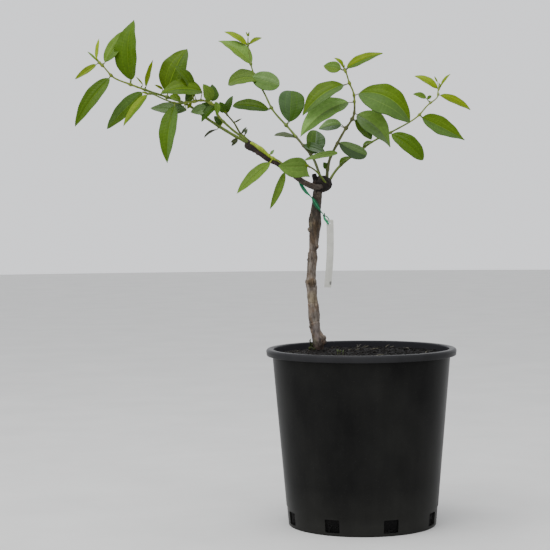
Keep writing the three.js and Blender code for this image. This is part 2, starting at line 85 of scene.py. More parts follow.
# Dry bits on the soil: place, length, turn and how steeply they stand.
straws = [
    ((2, 91), 8, 0.9, 0.55), ((8, 88), 7, -0.6, 0.5), ((-1, 95), 6, 1.4, 0.6), ((12, 93), 6, 0.2, 0.3),
    ((19, 60), 15, 0.05, 0.06), ((24, 66), 6, 0.5, 0.2), ((41, 95), 7, 0.5, 0.45), ((47, 93), 6, -0.4, 0.3),
    ((-13, 44), 5, 0.4, 0.2), ((-2, 52), 6, -0.2, 0.1), ((66, 70), 9, 1.9, 0.1), ((-84, 30), 8, 1.4, 0.1),
    ((20, -40), 16, 0.3, 0.1), ((-50, -60), 12, -0.9, 0.1), ((60, -50), 14, 1.9, 0.08),
    ((-20, -84), 9, 2.5, 0.2), ((88, 10), 12, 1.2, 0.1), ((-90, -20), 10, 2.0, 0.1),
]
# Weed seedlings: place, height, leaves, how far these spread, and their tone.
sprouts = [
    ((-65.6, 45), 18, 7, 1.5, "w"), ((-63.5, 43), 13, 6, 2.0, "w"), ((-67, 38), 6, 5, 2.6, "w"),
    ((-61, 33), 5, 4, 2.6, "w"), ((-31.5, 0), 4.5, 2, 1.2, "s"), ((-24.4, 0), 3.2, 2, 1.2, "s"),
    ((-28, 2), 3.5, 3, 2.2, "w"),
]

# Trunk and graft head
trunk_route = [
    (-57, 222, 40), (-56, 243, 39), (-60.8, 262, 37), (-63.2, 295, 33), (-65, 325, 29),
    (-63.5, 350, 26), (-61, 375, 23), (-59.5, 404, 20), (-57, 425, 17.5), (-54, 446, 15),
]
trunk_foot_radius = 6.7
trunk_top_radius = 5.9
# Where the trunk is thicker or thinner: the height, by how much, and how far that spreads.
trunk_swellings = [
    (241, 2, 8), (318, 1.1, 5), (352, 0.6, 4), (397, 1.6, 13),
    (300, 0.1, 9), (361, -0.7, 6), (334, -0.3, 6), (382, 0.3, 4), (274, 0.9, 15),
]
trunk_knobs = [
    ((-50, 245.5, 37), 4.0), ((-49.8, 239.5, 37), 4.6), ((-65.4, 260.5, 35), 3.0), ((-68.3, 348.5, 25), 3.0),
    ((-65.5, 388, 19), 4.2), ((-58.4, 365.5, 23), 3.7),
]
trunk_rings = [262, 287, 312, 320, 357]
head_at = (-49, 448, 15)
head_half = (12.2, 11.2, 11.4)
head_bark_from = 437
stub_from, stub_to, stub_radius = (-57.6, 441, 11), (-60.2, 461, 11), 3.2
stub_taper = [1.7, 1.65, 1.5, 1.3, 1.1, 1.02, 1.04, 0.98]
# Marks on the bark: place, radius, darker and lighter colour, strength and how far it is drawn out upwards.
trunk_marks = [
    ((-66.5, 394, 14), 4.2, (110, 98, 70), (184, 174, 142), 0.9, 1.6),
    ((-65, 404, 12), 6, (44, 44, 36), (92, 92, 78), 0.7, 1.6),
    ((-61, 420, 10), 6, (40, 46, 36), (84, 92, 74), 0.6, 2),
    ((-58, 391, 14), 5.5, (74, 56, 34), (134, 108, 70), 0.75, 2.4),
    ((-62, 378, 16), 7, (62, 50, 36), (112, 92, 68), 0.6, 1.8),
    ((-57, 363.5, 18), 4, (34, 26, 22), (72, 58, 48), 0.8, 1.0),
    ((-68, 346, 19), 3.2, (30, 30, 28), (70, 72, 64), 0.8, 1.0),
    ((-66, 318, 22), 8.5, (38, 30, 20), (100, 82, 58), 0.85, 0.8),
    ((-59.5, 316.5, 23), 2.4, (18, 14, 12), (40, 32, 28), 0.9, 0.8),
    ((-63, 298, 25), 10, (100, 88, 68), (168, 156, 130), 0.6, 1.2),
    ((-66, 259, 29), 3.4, (24, 20, 20), (58, 50, 46), 0.85, 1.0),
    ((-57, 246, 31), 5, (96, 86, 84), (140, 128, 124), 0.5, 1.6),
    ((-59.5, 257, 31), 7, (100, 92, 90), (156, 146, 142), 0.5, 1.2),
    ((-63.5, 240, 31), 6, (44, 46, 36), (92, 94, 78), 0.65, 1.6),
]

# Bough
bough_route = [
    (-49, 445, 5), (-56, 443.5, 4.5), (-63, 445, 2.5), (-75, 451, -1.5), (-92.5, 464, -6),
    (-107, 474.5, -9.5), (-119, 481, -12), (-131.5, 491.5, -15), (-140, 498, -17), (-149, 504.5, -19),
]
bough_radii = [3.9, 3.9, 3.8, 3.6, 3.5, 3.6, 4.1, 5.2, 5.4, 4.2]
bough_knobs = [
    ((-145.8, 498.8, -17), 5.5), ((-142.5, 496.9, -17), 5.6), ((-137.5, 494.3, -16), 5.5),
    ((-132, 490.6, -15), 5.3),
]

# Every tone is sRGB. A band gives the two places between which a tone fades: heights, distances from the
# pot's axis, or places from left to right.
bark_tones = {
    "trunk": {"light": (156, 147, 136), "mid": (112, 102, 93), "dark": (54, 46, 40), "top": (38, 33, 27)},
    "head": {"light": (64, 54, 46), "mid": (36, 30, 27), "dark": (15, 12, 11), "top": (30, 25, 22)},
    "bough": {"light": (112, 104, 92), "mid": (78, 71, 63), "dark": (38, 31, 29), "top": (44, 34, 32)},
}
damp_bark = ((20, 14, 12), (50, 34, 27), (92, 74, 62))
damp_band, dull_band, aged_band, aged_bough_band = (232, 243), (318, 328), (362, 408), (455, 480)
# The lip's tones are a painted highlight, lighter than the rest of the skin.
pot_tones = {
    "skin": (10, 10, 11), "dust": (39, 39, 37), "lip": ((35, 35, 36), (48, 48, 50)),
    "inside": (43, 43, 47), "specks": (60, 59, 58),
}
dust_band, lit_lip_band, inner_band, bare_wall_band = (0, 60), (119, 120), (116.1, 116.3), (221, 222)
# The soil's painted light and shade: near black on the right and low down in the drain holes, and the bands
# for these and for the paler left.
soil_painted_shades = {"right": (6, 6, 6), "holes": (3, 3, 3)}
shaded_right_band, lit_left_band, shaded_hole_band = (-30, 70), (-100, -30), (30, 60)

# Leaves
stem_ring_gap = 14
fewest_rings = 6
stops_per_ring = 5
blade_fold = math.radians(16)
foot_power = 0.62
usual_tip_power = 0.92
foot_depth = 0.25
nearly_upright = 0.25
# Far leaves, each behind a broad one, by the seeded rule that the solids follow too. A pair is a least value
# and what a draw adds to it at most. A far leaf is tested for room at a few shares of its length.
far = {
    "seed": 7, "chance": 0.85, "from_width": 15, "room": 4.5, "foot_share": 0.12, "foot_behind": 5,
    "bow": 0.04, "tip_share": (0.5, 0.2), "tip_behind": (28, 18), "narrow": (0.42, 0.1), "roll": (150, 30),
    "tested": (0.1, 0.3, 0.5, 0.7, 0.95),
}
trunk_stops, bough_stops = 27, 17

# Each shoot: its route, its radius at the start and the tip, the stem's tones from foot to tip (dress), and
# its leaves. A leaf row holds the blade's foot (across, up), how far the tip lies from it (across, up and
# back), the width, the roll in degrees that turns the upper side from the viewer towards the sky, and the
# bow of the midrib over its length. Some end with a tip power of their own. A leaf's tone has a letter for
# the half towards the sky and, where the other half looks different, a second one, which paints the light,
# shade and sheen that this half of the fold shows into its colour. Where a shoot needs them,
# it has forms, which change a leaf by its number, a swelling of the stem (at which share of its length, how
# far it spreads and by how much), and small leaves behind the others, with a tone before each row.
shoots = {
    "left_leader": {
        "route": [
            (-147, 502.5, -17.5), (-158, 508.5, -17), (-166, 513, -17), (-196, 532, -17),
            (-227, 554, -20), (-249, 562, -26), (-270, 569, -33), (-300, 580, -42), (-321, 589, -49),
            (-334, 603, -54), (-342, 611, -57),
        ],
        "radii": (1.9, 0.8),
        "dress": ("green", "green", "young"),
        "tones": "m km v k y m y o o lm w w w",
        "leaves": [
            (-298, 586, 3, 78, 0, 36, -36, 0.13),
            (-332, 609, 31, 44, 34, 19, 20, 0.03),
            (-343, 613, 3, 27, 3, 7, -50, 0.01),
            (-344, 612, -11, 11, 4, 3.5, 30, 0.05),
            (-344, 606, -28, -19, -6, 9, 30, 0.02),
            (-327, 588, -46, -62, -12, 22, 26, 0.09),
            (-279, 577, 9, 35, -5, 11, -55, -0.01),
            (-283, 579, -9, 11, 3, 2.4, 20, 0.04),
            (-257, 573, -11, 6, -4, 4, 30, 0.05),
            (-251, 569, 26, 57, 8, 37.5, 32, 0.09),
            (-187, 520, -17, -10, -8, 8, 66, 0.05),
            (-160, 507, -9, -4, -3, 5, 10, 0.05),
            (-160, 507, -8, -9, -3, 5, 10, 0.05),
        ],
    },
    "left_middle": {
        "route": [
            (-147, 503.2, -21.8), (-156, 511.5, -26), (-167, 520, -31), (-184, 537, -36), (-193, 553, -40),
            (-205, 558, -42), (-222, 556, -44), (-240, 555, -45), (-253, 559, -47), (-271, 567, -51),
            (-277, 568, -53),
        ],
        "radii": (1.5, 0.8),
        "dress": ("green", "young", "green"),
        "tones": "nm yl m lm g mn dm k d g d d m d l o",
        "forms": {2: {"belly": -0.35}},
        "leaves": [
            (-284, 569, -48, -47, 20, 22, 28, 0.02),
            (-278, 566, -32, -40, -16, 14, 42, 0.02),
            (-219, 572, -22, 32, -6, 18, 35, 0.12),
            (-206, 570, -54, -2, -14, 29, 40, 0.14),
            (-227, 545, -47, 4, 22, 18, 30, 0.03),
            (-242, 551, -11, -74, -14, 25, -28, 0.09),
            (-216, 567, -12, -10, 12, 13, 20, 0.08),
            (-195, 557.5, -9, 22, -10, 17, 26, 0.08),
            (-193, 557, 1, 22, 12, 16, 36, 0.08),
            (-199, 547, -22, -4, -4, 15, 20, 0.05),
            (-187, 552, -20, -22, -10, 14, 40, 0.08),
            (-182, 525, -8, 13, 8, 9, 20, 0.08),
            (-187, 556, 0, -18, -13, 9, 25, 0.05),
            (-195.5, 547.5, -11, 7, 8, 9, 20, 0.05),
            (-234, 558, -14, 7, 10, 10, 20, 0.06),
            (-219.5, 554.5, -6, -7, 4, 5, 20, 0.05),
        ],
    },
    "left_short": {
        "route": [
            (-144, 504, -14.5), (-151, 510, -14.5), (-157, 516, -16), (-164, 528, -15.5), (-175, 541, -14),
        ],
        "radii": (1.4, 0.8),
        "dress": ("green", "old", "old"),
        "tones": "d d w s s",
        "leaves": [
            (-173, 542, 7, 22, 6, 11, 32, 0.08),
            (-177, 542, -6, 14, -4, 12, 20, 0.08),
            (-163, 529, 9, 5, -3, 2.6, 20, 0.04),
            (-154, 515, 6, 8, -3, 3.5, 10, 0.05),
            (-150, 513, 3, 8, 2, 3.5, 10, 0.05),
        ],
    },
    "bough_shoot": {
        "route": [
            (-143, 503, -22.5), (-137.5, 499.4, -22.5), (-128.5, 493.2, -20.5), (-117, 483.6, -16),
            (-105, 477, -14), (-97, 470, -12.5),
        ],
        "radii": (1.5, 1.2),
        "dress": ("bright", "bright", "young"),
        "tones": "k k h",
        "swelling": (0.3, 0.17, 0.8),
        "leaves": [
            (-118, 476, -44, -40, -10, 18, 32, 0.03),
            (-99, 463, -19, -48, -8, 11, -20, 0.02),
            (-117, 487, 5, 6, -3, 4, 10, 0.05),
        ],
    },
    "front_twig": {
        "route": [(-45, 449, 6), (-54, 461, -3), (-62, 468, -11), (-68, 471, -17)],
        "radii": (1.3, 0.9),
        "dress": ("green", "green", "thin"),
        "tones": "f f",
        "forms": {0: {"lobe": 1.0}},
        "leaves": [
            (-69, 471, -38, 0, -10, 28, -16, 0.06),
            (-72, 479, 43, 9, -6, 12, 50, 0.02, 0.45),
        ],
    },
    "upper_left": {
        "route": [
            (-51, 454, 17), (-61, 481, 29), (-74, 498, 38), (-92, 520, 50), (-113, 544, 62),
            (-124, 566, 70), (-136, 588, 77), (-141, 602, 80), (-145, 630, 86), (-145, 641, 88),
        ],
        "radii": (1.7, 0.7),
        "dress": ("old", "green", "green"),
        "tones": "y y fk k hn md bd s nb",
        "forms": {7: {"blunt": 0.4, "belly": 0.5}},
        "small_leaves": [("b", -73, 498.5, 27, -9, -20, 12.5, 24, 0.06, 0.7)],
        "leaves": [
            (-147, 630, -29, 18, 6, 11, 42, 0.08),
            (-143, 631, 16, 8, -4, 8, 48, 0.08),
            (-141, 606, -42.5, 30, 10, 26.5, 44, 0.11, 1.1),
            (-130, 585, -42, -5.5, 10, 27, 42, 0.16, 0.55),
            (-140, 587.5, 35.5, -11, -10, 27, 10, 0.04, 0.5),
            (-119, 545, -47, 6, 14, 19, 32, 0.1, 0.6),
            (-92, 529, 3, 41, 16, 37, 8, 0.08, 0.45),
            (-84, 508, -28, 4, 8, 10, 54, 0.08),
            (-62, 487, 5, 31, 12, 28, 16, 0.08, 0.6),
        ],
    },
    "centre_leader": {
        "route": [
            (-43.5, 453, 13), (-42, 469, 8), (-39, 481, 4), (-29, 501, -3), (-20, 517, -9), (-8, 536, -16),
            (-6.5, 553, -21), (-8, 567, -26), (-13, 579, -30), (-17, 592, -34), (-20, 598, -36),
        ],
        "radii": (1.9, 0.8),
        "dress": ("old", "thin", "young"),
        "tones": "ym fl y ln en hb ln fg dm hb d",
        "forms": {6: {"midrib_rise": 0.3, "belly": 0.24}, 9: {"blunt": 0.25}},
        "leaves": [
            (-16, 599, 47, 19, -8, 16, 36, 0.07),
            (-24, 598, -23, 4, 8, 16, 15, -0.04),
            (-21, 601, -12, 11, -2, 7, 46, 0.12),
            (-21, 577, -54, -39, -10, 30, 40, 0.14),
            (-15, 554, -63, -44, -16, 36, 40, 0.15),
            (-24, 525, -30, -5, 8, 18, 30, 0.08),
            (-1, 565, 67, -36, -10, 44, 32, 0.2, 0.7),
            (-3, 538, 43, -43, 4, 34, 28, 0.21, 1.3),
            (-6, 531, 22, -26, 10, 19, 28, 0.08),
            (-27, 501, 36, -17, -2, 20, -15, 0.08, 0.7),
            (-43, 468, -5, 8, -5, 8, 10, 0.05),
        ],
    },
    "right_leader": {
        "route": [
            (-40, 452, 18), (-33, 463, 23), (-26, 471, 26), (-11, 483, 30), (18, 503, 36), (44, 516, 40),
            (75, 534, 44), (89, 549, 46), (102, 560, 48), (103, 568, 49.5), (105, 573, 51),
        ],
        "radii": (1.6, 0.7),
        "dress": ("green", "green", "young"),
        "tones": "m m m ln vy vy v y k m",
        "forms": {2: {"blunt": 0.34}, 3: {"belly": 0.14}},
        "leaves": [
            (-27, 474, 14, 9, -4, 9, 48, 0.08),
            (4, 497, 13, 6, -4, 8, 58, 0.08),
            (42, 512, 41, -34, -8, 26, 28, 0.12),
            (82, 533, 56, -29, 8, 27, 32, 0.02, 1.15),
            (106, 562, 40, -19, 4, 13, 38, 0.06),
            (102, 571, -30, 17, 6, 12, 38, 0.1),
            (107, 575, 12, 15, -4, 6, 50, 0.05),
            (102, 579, -4, 8, 2, 2.4, 10, 0.05),
            (87, 559, -17, 5, -6, 9, 32, 0.08),
            (89, 557, 5, 5, 3, 5, 20, 0.05),
        ],
    },
}

# Tones of the foliage, a letter each: the upper side, the lower side and the veins. The greyer and bluish
# greens b, g and h carry a painted sheen: the sky's reflection laid into their colour.
tones = {
    "y": ((98, 119, 0), (104, 118, 14), (120, 135, 16)),
    "l": ((76, 103, 6), (90, 111, 26), (96, 123, 22)),
    "k": ((82, 109, 32), (92, 114, 46), (102, 128, 48)),
    "m": ((61, 88, 4), (82, 104, 30), (82, 108, 20)),
    "n": ((67, 95, 34), (84, 106, 48), (88, 114, 48)),
    "d": ((44, 72, 4), (64, 88, 26), (64, 92, 22)),
    "b": ((47, 75, 27), (66, 88, 50), (70, 96, 46)),
    "g": ((71, 97, 42), (82, 106, 58), (92, 118, 60)),
    "h": ((92, 122, 62), (98, 124, 72), (112, 138, 78)),
    "o": ((94, 108, 8), (100, 110, 28), (112, 122, 30)),
    "v": ((114, 136, 4), (104, 128, 10), (132, 146, 22)),
    "f": ((89, 119, 46), (98, 122, 58), (108, 134, 60)),
    "e": ((101, 135, 64), (102, 132, 72), (118, 144, 76)),
    "w": ((52, 58, 30), (58, 64, 40), (62, 68, 44)),
    "s": ((68, 78, 52), (72, 80, 58), (78, 88, 62)),
}
tone_shades = (0.93, 1.0, 1.07)
# b, g and h: a real waxy gloss, and a painted sheen in their colour
waxy_painted_sheen_tones, far_tone = "bgh", "m"
waxy_gloss, usual_gloss, dull_gloss = 0.4, 0.14, 0.1
glossy_roughness, dull_roughness = (0.36, 0.5), (0.55, 0.7)
stem_tones = {
    "old": (70, 76, 30), "green": (86, 104, 24), "young": (112, 126, 36), "bright": (134, 154, 24),
    "thin": (90, 92, 46),
}

# The finer leaf: its columns of points and its veins by their share of the half width, the teeth of its
# margin by their place and depth, and how high or deep its skin goes
half_columns = [0.035, 0.12, 0.26, 0.435, 0.465, 0.62, 0.78, 0.92, 1.0]
columns = np.array([-edge for edge in reversed(half_columns)] + [0] + half_columns)
side_vein, vein_width = 0.45, 0.05
midrib_depth, side_vein_depth, keel_depth = 0.3, 0.16, 0.7
swell_height, rib_height, rib_gap = 0.35, 0.12, 4.2
fewest_teeth, tooth_gap, tooth_depth = 6, 2.1, 0.42
tooth_steps = [(0.0, 0.0), (0.45, 0.55), (0.85, 1.0)]
evenly_spaced = 0.62
blade_thickness = 0.34
ripple_share, droop_share, most_twist = 0.035, (0.01, 0.035), 14
leaf_seed = 11

# Stems: how much fuller they are than their radii say, and their joints by the radius at the start, then
# the stalks, buds and spines, and the leaf widths from which a stem has a joint or spines
fuller, joint_height, highest_joint, joint_spread = 1.15, 0.4, 0.7, 2.2
shortest_stalk, jointed_from, spined_from = 0.5, 5, 9
bud_half, bud_out, bud_up, bud_lean = (0.75, 0.75, 1.15), 0.8, 1.1, 0.8
spine_length, spine_radius = (2.2, 4.2), 0.35

# Tie and blank tag
tie_knot = (-47.7, 406, 12)
tie_top = 430
tie_rise = 5
tie_off_bark = 1.1
turn_gap = 0.13
knot_half = (1.7, 1.5, 1.3)
# The tape's two tones: bright for the tail and loops, dull for the band round the trunk and the knot, darker
# from dirt and from painted shade where the tape overlaps.
bright, dull = 0, 1
tie_tail = [(-66, 432.6, 7), (-70.6, 437, 5.5), (-74.6, 442.4, 4.6), (-77.4, 447.2, 4.4), (-79.4, 451.4, 6)]
tail_widths = [0.9, 0.6, 1.2, 2.2, 2.5, 2.3, 1.8]
knot_widths = [0.9, 0.6, 0.8]
# Tapes from the knot to the tag's hole: a route of shares of the way and steps aside from it, the widths
# along it, the twist at its start and its end, and the slot.
tag_tapes = [
    ([
        (0, (0, 0, 0)), (0.35, (-1.5, -1.2, 0)), (0.8, (-1.7, -2.4, 0.4)), (1, (-1.0, -2.6, -0.9)),
        (1, (0.1, -0.9, -0.5)), (1, (0.2, 1.1, -0.2)),
    ], [0.9, 1.5, 1.7, 1.5, 0.9, 0.8], 0.2, -0.3, bright),
    ([
        (0, (0.4, 0, 0.3)), (0.4, (2.0, 0.6, 2.0)), (0.8, (1.7, 1.6, 1.6)), (1, (0.5, 1.5, 0.4)),
    ], [0.8, 0.8, 0.9, 0.8], 0.4, 0.7, bright),
    ([(0, (0.3, -0.3, 0.6)), (0, (0.9, -0.6, 2.4)), (0, (0.2, -0.8, 3.6))], [0.7, 0.8, 0.5], 0, 0.6, dull),
]
tag_width = 9.2
tag_length = 89.6
tag_thickness = 0.8
tag_hole_radius = 1.7
tag_hole_below = 4.6
tag_hole_aside = -1.2
tag_top = (-39.9, 400.8, 12)
tag_lean = math.radians(2)
tag_corner = 1.2
tag_bow, tag_creases, tag_curl, tag_sway, tag_tip_sway = 1.32, 0.15, 0.5, -1.5, 0.6
tag_columns, tag_rows = 17, 150
hole_margin = 1.6
tag_smudge = (-39.4, 317.4, 12), 2.6

# Light: the sky, and each lamp's name, place, size and power
sky_color, sky_strength = (0.89, 0.9, 0.93), 1.3
lamps = [("over", (-0.6, -0.7, 2.3), 2.4, 46), ("side", (-2.3, -1.7, 1.3), 1.6, 7)]
lit_place = (-0.1, 0, 0.4)


def seen(place):
    """The point of a place that is given as it looks from in front."""
    across, up, back = place
    stretch = (eye["distance"] + back) / eye["distance"]
    return np.array([
        eye["across"] + (across - eye["across"]) * stretch,
        back,
        eye["up"] + (up - eye["up"]) * stretch,
    ])


def pictured(point):
    """The place of a point, as it looks from in front."""
    stretch = (eye["distance"] + point[1]) / eye["distance"]
    return (
        eye["across"] + (point[0] - eye["across"]) / stretch,
        eye["up"] + (point[2] - eye["up"]) / stretch,
        point[1],
    )


def unit(vector):
    return vector / np.linalg.norm(vector)


def unit_rows(vectors):
    return vectors / np.linalg.norm(vectors, axis=1)[:, None]


def hump(value, middle, spread):
    """1 at the middle, falling away softly on both sides."""
    return np.exp(-(((value - middle) / spread) ** 2))


def turns(sides):
    """The angles of so many equal steps all round."""
    return np.arange(sides) * 2 * math.pi / sides


def polar(radius, angle):
    return np.array([radius * math.cos(angle), radius * math.sin(angle)])


def random_from(seed):
    """Draws from 0 to 1 by the rule that the solids' far leaves follow."""
    factor, modulus = 16807, 2**31 - 1
    state = seed

    def draw():
        nonlocal state
        state = state * factor % modulus
        return state / modulus

    return draw


class Curve:
    """A centripetal Catmull-Rom spline through points, walked by its length."""

    def __init__(self, points, fine=48):
        points = [np.array(point, float) for point in points]
        ends = [2 * points[0] - points[1], *points, 2 * points[-1] - points[-2]]
        t = np.linspace(0, 1, fine, endpoint=False)[:, None]
        line = []
        for p0, p1, p2, p3 in zip(ends, ends[1:], ends[2:], ends[3:]):
            d0, d1, d2 = (math.sqrt(np.linalg.norm(b - a)) for a, b in zip((p0, p1, p2), (p1, p2, p3)))
            t1 = ((p1 - p0) / d0 - (p2 - p0) / (d0 + d1) + (p2 - p1) / d1) * d1
            t2 = ((p2 - p1) / d1 - (p3 - p1) / (d1 + d2) + (p3 - p2) / d2) * d1
            bend, sway = 3 * (p2 - p1) - 2 * t1 - t2, 2 * (p1 - p2) + t1 + t2
            line.append(p1 + t1 * t + bend * t**2 + sway * t**3)
        self.line = np.vstack([*line, points[-1][None]])
        steps = np.linalg.norm(np.diff(self.line, axis=0), axis=1)
        self.length = steps.sum()
        self.shares = np.concatenate([[0], np.cumsum(steps)]) / self.length

    def at(self, share):
        return np.stack([np.interp(share, self.shares, self.line[:, k]) for k in range(3)], axis=-1)


def curve_through(route):
    return Curve([seen(place) for place in route])


trunk_curve = curve_through(trunk_route)
bough_curve = curve_through(bough_route)
head_centre = seen(head_at)


def frames_along(line):
    """Two directions square to a line at each of its points, carried along without a twist."""
    tangents = unit_rows(np.gradient(line, axis=0))
    normal = np.eye(3)[np.argmin(np.abs(tangents[0]))]
    normals = []
    for tangent in tangents:
        normal = unit(normal - tangent * (normal @ tangent))
        normals.append(normal)
    return np.array(normals), np.cross(tangents, normals)


def tube_rings(line, radii, sides):
    """Rings of points round a line. radii is one number for each ring, or one for each point of each."""
    normals, binormals = frames_along(line)
    angles = turns(sides)[None, :, None]
    around = np.cos(angles) * normals[:, None] + np.sin(angles) * binormals[:, None]
    radii = np.asarray(radii, float)
    if radii.ndim == 1:
        radii = radii[:, None]
    return line[:, None] + around * radii[..., None]


def ball_mesh(subdivisions):
    shape = bmesh.new()
    bmesh.ops.create_icosphere(shape, subdivisions=subdivisions, radius=1)
    points = np.array([vertex.co[:] for vertex in shape.verts])
    faces = [[vertex.index for vertex in face.verts] for face in shape.faces]
    shape.free()
    return points, faces


ball_points, ball_faces = ball_mesh(2)


class Heap:
    """Points and faces in millimetres, gathered for one joined piece."""

    def __init__(self):
        self.points = []
        self.faces = []
        self.slots = []
        self.size = 0

    def add(self, points, faces, slots=0):
        self.points.append(points)
        self.faces += (np.asarray(faces) + self.size).tolist()
        self.slots += np.broadcast_to(slots, len(faces)).tolist()
        self.size += len(points)

    def rings(self, rings, slots=0):
        """A closed skin over rings of points. slots is one number, or one for each face round and along."""
        steps, around = rings.shape[:2]
        index = np.arange(steps * around).reshape(steps, around) + self.size
        onward = np.roll(index, -1, axis=1)
        quads = np.stack([index[:-1], onward[:-1], onward[1:], index[1:]], axis=-1).reshape(-1, 4)
        slots = np.broadcast_to(slots, (steps - 1, around)).reshape(-1)
        self.points.append(rings.reshape(-1, 3))
        self.faces += quads.tolist() + [index[0][::-1].tolist(), index[-1].tolist()]
        self.slots += slots.tolist() + [int(slots[0]), int(slots[-1])]
        self.size += steps * around

    def piece(self, name, materials=()):
        mesh = bpy.data.meshes.new(name)
        mesh.from_pydata((np.vstack(self.points) * MM).tolist(), [], self.faces)
        mesh.polygons.foreach_set("material_index", self.slots)
        return show(name, mesh, materials)


def placed(name, data):
    """A new object in the scene."""
    made = bpy.data.objects.new(name, data)
    bpy.context.scene.collection.objects.link(made)
    return made


def show(name, mesh, materials, sharp_over=None):
    """The mesh as a smooth piece. Edges that bend by more than sharp_over degrees stay sharp."""
    piece = placed(name, mesh)
    for material in materials:
        mesh.materials.append(material)
    mesh.shade_smooth()
    if sharp_over:
        mesh.set_sharp_from_angle(angle=math.radians(sharp_over))
    mesh.update()
    return piece


def settle(piece, slot, *nodes):
    """The piece rides with the tree and stands for solids. slot is not used."""
    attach(piece, "root")
    if nodes:
        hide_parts(*nodes)


def reshaped(piece, kind, **settings):
    """The mesh that one modifier makes of a piece, which goes."""
    modifier = piece.modifiers.new(kind.lower(), kind)
    for key, value in settings.items():
        setattr(modifier, key, value)
    mesh = bpy.data.meshes.new_from_object(piece.evaluated_get(bpy.context.evaluated_depsgraph_get()))
    bpy.data.objects.remove(piece)
    return mesh


# Materials
def linear(color):
    return [
        value / 255 / 12.92 if value < 10.3 else ((value / 255 + 0.055) / 1.055) ** 2.4
        for value in color
    ] + [1.0]


def shade(color, factor):
    return tuple(min(255, max(0, value * factor)) for value in color)


class Finish:
    """A material under one Principled shader, whose colour is laid on in layers."""

    def __init__(self, name, specular):
        self.material = bpy.data.materials.new(name)
        self.material.use_nodes = True
        self.tree = self.material.node_tree
        self.shader = self.tree.nodes["Principled BSDF"]
        self.shader.inputs["Specular IOR Level"].default_value = specular
        self.place = self.node("TexCoord").outputs["Object"]
        self.color = None

    def node(self, kind, values=None, **settings):
        """A new node. values holds what goes into its inputs, by their names or numbers."""
        made = self.tree.nodes.new("ShaderNode" + kind)
        for key, value in settings.items():
            setattr(made, key, value)
        for key, value in (values or {}).items():
            self.feed(made.inputs[key], value)
        return made

    def feed(self, socket, value):
        if isinstance(value, bpy.types.NodeSocket):
            self.tree.links.new(value, socket)
        else:
            socket.default_value = value

    def stretched(self, x, y, z):
        return self.node("Mapping", {"Vector": self.place, "Scale": (x, y, z)}).outputs["Vector"]

    def noise(self, scale, detail=3, roughness=0.5, place=None):
        """Clouds from 0 to 1, about scale of them to a metre."""
        return self.node("TexNoise", {
            "Vector": place or self.place, "Scale": scale, "Detail": detail, "Roughness": roughness,
        }).outputs["Fac"]

    def cells(self, scale, place=None):
        return self.node("TexVoronoi", {"Vector": place or self.place, "Scale": scale}).outputs["Distance"]

    def ramp(self, value, *stops):
        """Colours by a value. Each stop is a value and its sRGB colour."""
        made = self.node("ValToRGB", {"Fac": value})
        line = made.color_ramp.elements
        while len(line) < len(stops):
            line.new(1)
        for element, (position, color) in zip(line, stops):
            element.position = position
            element.color = linear(color)
        return made.outputs["Color"]

    def span(self, value, low, high, first, last):
        """Goes from first to last while the value goes from low to high."""
        return self.node("MapRange", {
            "Value": value, "From Min": low, "From Max": high, "To Min": first, "To Max": last,
        }).outputs["Result"]

    def fade(self, place, start, end, first, last):
        """Goes from first to last between two places in millimetres."""
        return self.span(place, start * MM, end * MM, first, last)

    def number(self, operation, first, second):
        return self.node("Math", {0: first, 1: second}, operation=operation).outputs[0]

    def vector(self, operation, *values):
        made = self.node("VectorMath", dict(enumerate(values)), operation=operation)
        return made.outputs["Value" if operation == "LENGTH" else "Vector"]

    def axis(self, letter):
        return self.node("SeparateXYZ", {"Vector": self.place}).outputs[letter]

    def off_axis(self):
        """The distance from the pot's axis."""
        return self.vector("LENGTH", self.vector("MULTIPLY", self.place, (1, 1, 0)))

    def ragged_height(self, cloud, amount):
        """The height, moved up and down by a cloud of noise, so that a border has a ragged edge."""
        push = self.span(cloud, 0.3, 0.7, -amount * MM, amount * MM)
        return self.number("ADD", self.axis("Z"), push)

    def ruffled(self, scale, amount):
        """The place, pushed about by noise, so that what is drawn by it has a ragged edge."""
        cloud = self.node("TexNoise", {"Vector": self.place, "Scale": scale, "Detail": 3}).outputs["Color"]
        push = self.vector("MULTIPLY_ADD", cloud, (amount * MM,) * 3, (-amount * MM / 2,) * 3)
        return self.vector("ADD", self.place, push)

    def near(self, place, spot, radius, tall):
        """1 at a spot and 0 from the radius on, reaching tall times as far up and down."""
        gap = self.vector("SUBTRACT", place, tuple(seen(spot) * MM))
        far_off = self.vector("LENGTH", self.vector("MULTIPLY", gap, (1, 1, 1 / tall)))
        return self.fade(far_off, radius / 2, radius, 1.0, 0.0)

    def cover(self, share, color, strength=None):
        """Lays a colour over the one so far. It is plain sRGB, or comes from a ramp."""
        if strength is not None:
            share = self.number("MULTIPLY", share, strength)
        if not isinstance(color, bpy.types.NodeSocket):
            color = linear(color)
        self.color = self.node("Mix", {0: share, 6: self.color, 7: color}, data_type="RGBA").outputs[2]

    def rough(self, value, low, high):
        self.feed(self.shader.inputs["Roughness"], self.span(value, 0.3, 0.7, low, high))

    def bump(self, *layers):
        """Each layer is a height, its strength and its depth in millimetres."""
        normal = None
        for height, strength, depth in layers:
            made = self.node("Bump", {"Height": height, "Strength": strength, "Distance": depth * MM})
            if normal:
                self.feed(made.inputs["Normal"], normal)
            normal = made.outputs["Normal"]
        self.feed(self.shader.inputs["Normal"], normal)

    def done(self):
        self.feed(self.shader.inputs["Base Color"], self.color)
        return self.material


def leaf_finish(name, color, gloss=None):
    """A leaf's skin: its plain colour a little mottled, fine grain, and gloss on the upper side."""
    finish = Finish(name, gloss or dull_gloss)
    mottle = finish.noise(260, 4, 0.6)
    finish.color = finish.ramp(mottle, (0.3, shade(color, 0.93)), (0.7, shade(color, 1.06)))
    finish.rough(finish.noise(520, 2), *(glossy_roughness if gloss else dull_roughness))
    finish.bump((finish.noise(1900), 0.2, 0.06), (finish.cells(1300), 0.12, 0.06))
    return finish.done()


